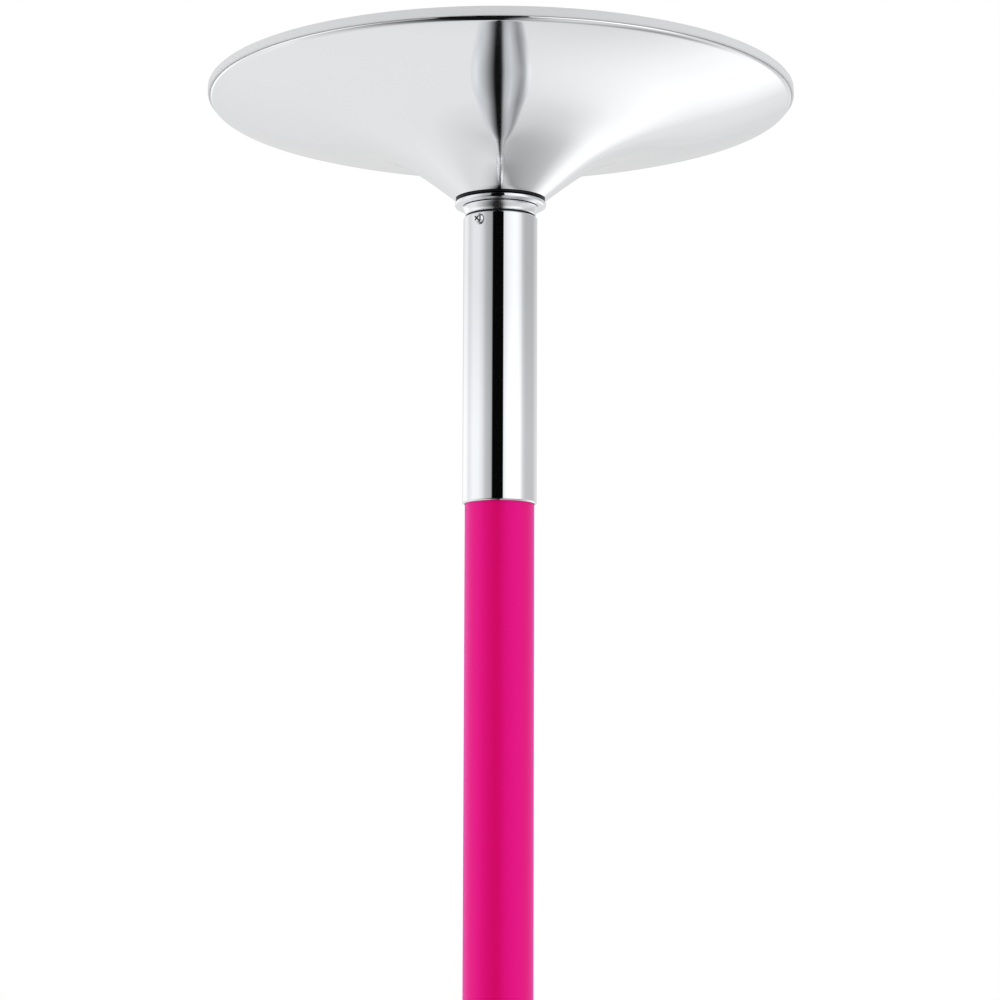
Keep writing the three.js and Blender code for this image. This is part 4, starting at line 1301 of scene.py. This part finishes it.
@dataclass(frozen=True)
class Softbox:
    """A soft area lamp that looks at the pole, in metres. Its level is its face's, where 1 is white."""

    name: str
    heading: float
    distance: float = 3.0
    height: float = 2.3
    aim: float = 1.8
    width: float = 1.5
    tall: float = 3.2
    level: float = 1.7

    def build(self) -> None:
        """Adds the lamp."""
        place = (turned_by(self.heading) @ Matrix.Translation((0, -self.distance, 0))).translation
        place.z = self.height
        data = bpy.data.lights.new(self.name, "AREA")
        data.shape = "RECTANGLE"
        data.size, data.size_y = self.width, self.tall
        data.energy = self.level * math.pi * self.width * self.tall
        lamp = bpy.data.objects.new(self.name, data)
        bpy.context.collection.objects.link(lamp)
        lamp.location = place
        lamp.visible_glossy = False
        aim = Matrix.Translation((0, 0, self.aim)).translation - place
        lamp.rotation_euler = aim.to_track_quat("-Z", "Y").to_euler()


@dataclass
class Studio:
    """A white studio: camera, floor, soft lamps, and walls that metal sees with a dark gap in front."""

    floor_radius: float = 20.0
    camera_place: tuple[float, float, float] = (0.0003, -1.6604, 1.7558)
    camera_pitch: float = 7.29
    camera_roll: float = 0.18
    lens: float = 96.62
    ambient: float = 0.72
    boxes: tuple[Softbox, ...] = (Softbox("right_softbox", 72.0), Softbox("left_softbox", -72.0))
    # Brightness of the walls that metal sees, by the angle from the front side towards its right:
    # pale panels left and right, a grey one right behind, and a black gap in front.
    walls: Stops = (
        (-180, 0.73), (-165, 0.8), (-150, 1.1), (-132, 1.2), (-110, 0.92), (-90, 1.1), (-70, 1.08),
        (-58, 0.93), (-44, 0.61), (-30, 0.5), (-25.5, 0.42), (-23.2, 0.002), (9.8, 0.002), (11.2, 1.0),
        (26, 1.25), (42, 1.38), (55, 1.36), (67, 1.12), (76, 0.76), (88, 0.62), (122, 0.62), (140, 0.78),
        (158, 0.86), (170, 0.74), (180, 0.73),
    )
    wall_rise: tuple[float, float] = (0.12, 0.24)
    wall_fade: float = 0.84
    white_fade: tuple[float, float] = (0.5, 2.2)
    mirror_fade: tuple[float, float] = (0.01, 0.05)
    # Brightness of the floor that metal sees, ring by ring: the ring's radius in metres, then as above.
    near_gap: Stops = ((-42, 0.27), (-28, 0.09), (-22, 0.005), (2, 0.005), (16, 0.6), (38, 0.8))
    far_gap: Stops = ((-90, 0.9), (-60, 0.5), (-25, 0.01), (5, 0.01))
    rings: tuple[tuple[float, Stops], ...] = (
        (0.5, (
            (-180, 0.75), (-150, 0.68), (-125, 0.73), (-105, 0.8), (-85, 0.62), (-51, 0.22), (-22, 0.005),
            (2, 0.005), (14, 0.3), (45, 0.55), (70, 0.62), (90, 0.34), (110, 0.45), (150, 0.52), (180, 0.75),
        )),
        (1.8, (
            (-180, 0.86), (-150, 0.86), (-125, 0.86), (-105, 0.76), (-79, 0.72), (-60, 0.54), *near_gap,
            (55, 0.6), (80, 0.32), (105, 0.45), (130, 0.64), (150, 0.78), (180, 0.84),
        )),
        (3.0, (
            (-180, 0.86), (-150, 0.87), (-130, 0.93), (-105, 1.0), (-79, 0.72), (-60, 0.52), *near_gap,
            (55, 0.63), (80, 0.4), (98, 0.5), (120, 1.0), (150, 1.12), (165, 1.03), (180, 0.87),
        )),
        (4.5, (
            (-180, 0.85), *far_gap, (20, 0.6), (60, 0.7), (110, 1.0), (140, 1.25), (168, 1.2), (180, 0.86),
        )),
        (7.5, ((-180, 0.81), *far_gap, (20, 0.6), (60, 0.7), (130, 0.85), (168, 0.87), (180, 0.81))),
        (14.0, ((-180, 0.78), *far_gap, (20, 0.7), (60, 0.9), (120, 0.7), (168, 0.77), (180, 0.77))),
    )

    def build(self) -> None:
        """Builds the studio."""
        bpy.context.scene.view_settings.view_transform = "Standard"
        self.build_camera()
        self.build_world()
        self.build_floor()
        for box in self.boxes:
            box.build()

    def build_camera(self) -> None:
        """Puts the camera where the photograph was taken from."""
        data = bpy.data.cameras.new("camera")
        data.lens, data.sensor_width = self.lens, 36.0
        data.clip_start, data.clip_end = 0.05, 60.0
        camera = bpy.data.objects.new("camera", data)
        bpy.context.collection.objects.link(camera)
        pitch = Matrix.Rotation(math.radians(90 + self.camera_pitch), 4, "X")
        camera.matrix_world = Matrix.Translation(self.camera_place) @ pitch @ turned_by(self.camera_roll)
        bpy.context.scene.camera = camera

    def around(self, tree: Tree, place: Socket, stops: Stops) -> bpy.types.Node:
        """Makes a brightness that changes round the pole's axis.

        Args:
            tree: The node tree.
            place: Socket of a direction or place.
            stops: Angles in degrees, from the front side towards its right, with their brightness.

        Returns:
            Node of the brightness.
        """
        split = add_node(tree, "SeparateXYZ", links={0: place})
        toward = add_node(tree, "Math", {"operation": "MULTIPLY", 1: -1.0}, {0: split.outputs[1]})
        angle = add_node(tree, "Math", {"operation": "ARCTAN2"}, {0: split, 1: toward})
        share = add_node(tree, "MapRange", {"From Min": -math.pi, "From Max": math.pi}, {"Value": angle})
        scale = max(level for _, level in stops)
        ramp = add_node(tree, "ValToRGB", links={0: share})
        marks = ramp.color_ramp.elements
        marks[0].position, marks[1].position = 0.0, 1.0
        for degrees, _ in stops[1:-1]:
            marks.new((degrees + 180) / 360)
        for mark, (_, level) in zip(marks, stops):
            mark.color = (level / scale,) * 3 + (1,)
        return add_node(tree, "VectorMath", {"operation": "SCALE", "Scale": scale}, {0: ramp})

    def build_world(self) -> None:
        """Makes the world: white to the eye, a studio's walls to metal, plain light to the rest."""
        world = bpy.data.worlds.new("studio_world")
        bpy.context.scene.world = world
        tree = empty_tree(world)
        direction = add_node(tree, "TexCoord").outputs["Generated"]
        rise = add_node(tree, "SeparateXYZ", links={0: direction}).outputs["Z"]
        low_wall, high_wall = self.wall_rise
        ends = {"From Min": low_wall, "From Max": high_wall, "To Min": 1.0, "To Max": self.wall_fade}
        fade = add_node(tree, "MapRange", ends, {"Value": rise})
        bright = self.around(tree, direction, self.walls)
        walls = add_node(tree, "VectorMath", {"operation": "SCALE"}, {0: bright, "Scale": fade})
        rays = add_node(tree, "LightPath").outputs
        seen = add_node(
            tree, "Math", {"operation": "MAXIMUM"}, {0: rays["Is Glossy Ray"], 1: rays["Is Transmission Ray"]}
        )
        plain = {"data_type": "RGBA", 6: (self.ambient,) * 3 + (1,)}
        light = add_node(tree, "Mix", plain, {0: seen, 7: walls}).outputs[2]
        white = {"data_type": "RGBA", 7: (1, 1, 1, 1)}
        shown = add_node(tree, "Mix", white, {0: rays["Is Camera Ray"], 6: light}).outputs[2]
        background = add_node(tree, "Background", {"Strength": 1.0}, {"Color": shown})
        add_node(tree, "OutputWorld", links={"Surface": background})

    def build_floor(self) -> None:
        """Lays a round white floor that keeps the shadow near the pole and fades to white."""
        Bench.clear()
        bpy.ops.mesh.primitive_circle_add(
            vertices=128, radius=self.floor_radius, fill_type="NGON", location=(0, 0, -0.0003)
        )
        floor = Bench.settle(bpy.context.object, "studio_floor")
        made = bpy.data.materials.new("matt_white_floor")
        tree = empty_tree(made)
        place = add_node(tree, "TexCoord").outputs["Object"]
        reach = add_node(tree, "VectorMath", {"operation": "LENGTH"}, {0: place}).outputs["Value"]
        fade, lit = (
            add_node(tree, "MapRange", {"From Min": start, "From Max": end}, {"Value": reach})
            for start, end in (self.white_fade, self.mirror_fade)
        )
        shade = self.around(tree, place, self.rings[0][1])
        for (start, _), (end, stops) in zip(self.rings, self.rings[1:]):
            share = add_node(tree, "MapRange", {"From Min": start, "From Max": end}, {"Value": reach})
            links = {0: share, 6: shade, 7: self.around(tree, place, stops)}
            shade = add_node(tree, "Mix", {"data_type": "RGBA"}, links).outputs[2]
        rays = add_node(tree, "LightPath").outputs
        direct = add_node(
            tree, "Math", {"operation": "MAXIMUM"}, {0: rays["Is Camera Ray"], 1: rays["Is Transmission Ray"]}
        )
        seen, mirrored = (
            add_node(tree, "Math", {"operation": "MULTIPLY"}, {0: ray, 1: amount})
            for ray, amount in ((direct, fade), (rays["Is Glossy Ray"], lit))
        )
        matt = add_node(tree, "BsdfDiffuse", {"Color": linear("F4F4F4")})
        white = add_node(tree, "Emission", {"Strength": 1.0})
        plain = add_node(tree, "MixShader", links={0: seen, 1: matt, 2: white})
        shaded = add_node(tree, "Emission", {"Strength": 1.0}, {"Color": shade})
        top = add_node(tree, "MixShader", links={0: mirrored, 1: plain, 2: shaded})
        back = add_node(tree, "NewGeometry").outputs["Backfacing"]
        under = add_node(tree, "BsdfTransparent")
        both = add_node(tree, "MixShader", links={0: back, 1: top, 2: under})
        add_node(tree, "OutputMaterial", links={"Surface": both})
        floor.data.materials.append(made)


def main() -> None:
    """Builds the studio and the pole's sub-assemblies."""
    logging.basicConfig(level=logging.INFO, format="%(message)s")
    Studio().build()
    for part in (CeilingDome(), TopHub(), PoleTubes(), Jack(), Foot()):
        part.build()
        part.report()
    CarriedNodes().dress()
    Bench.clear()


if __name__ == "__main__":
    main()
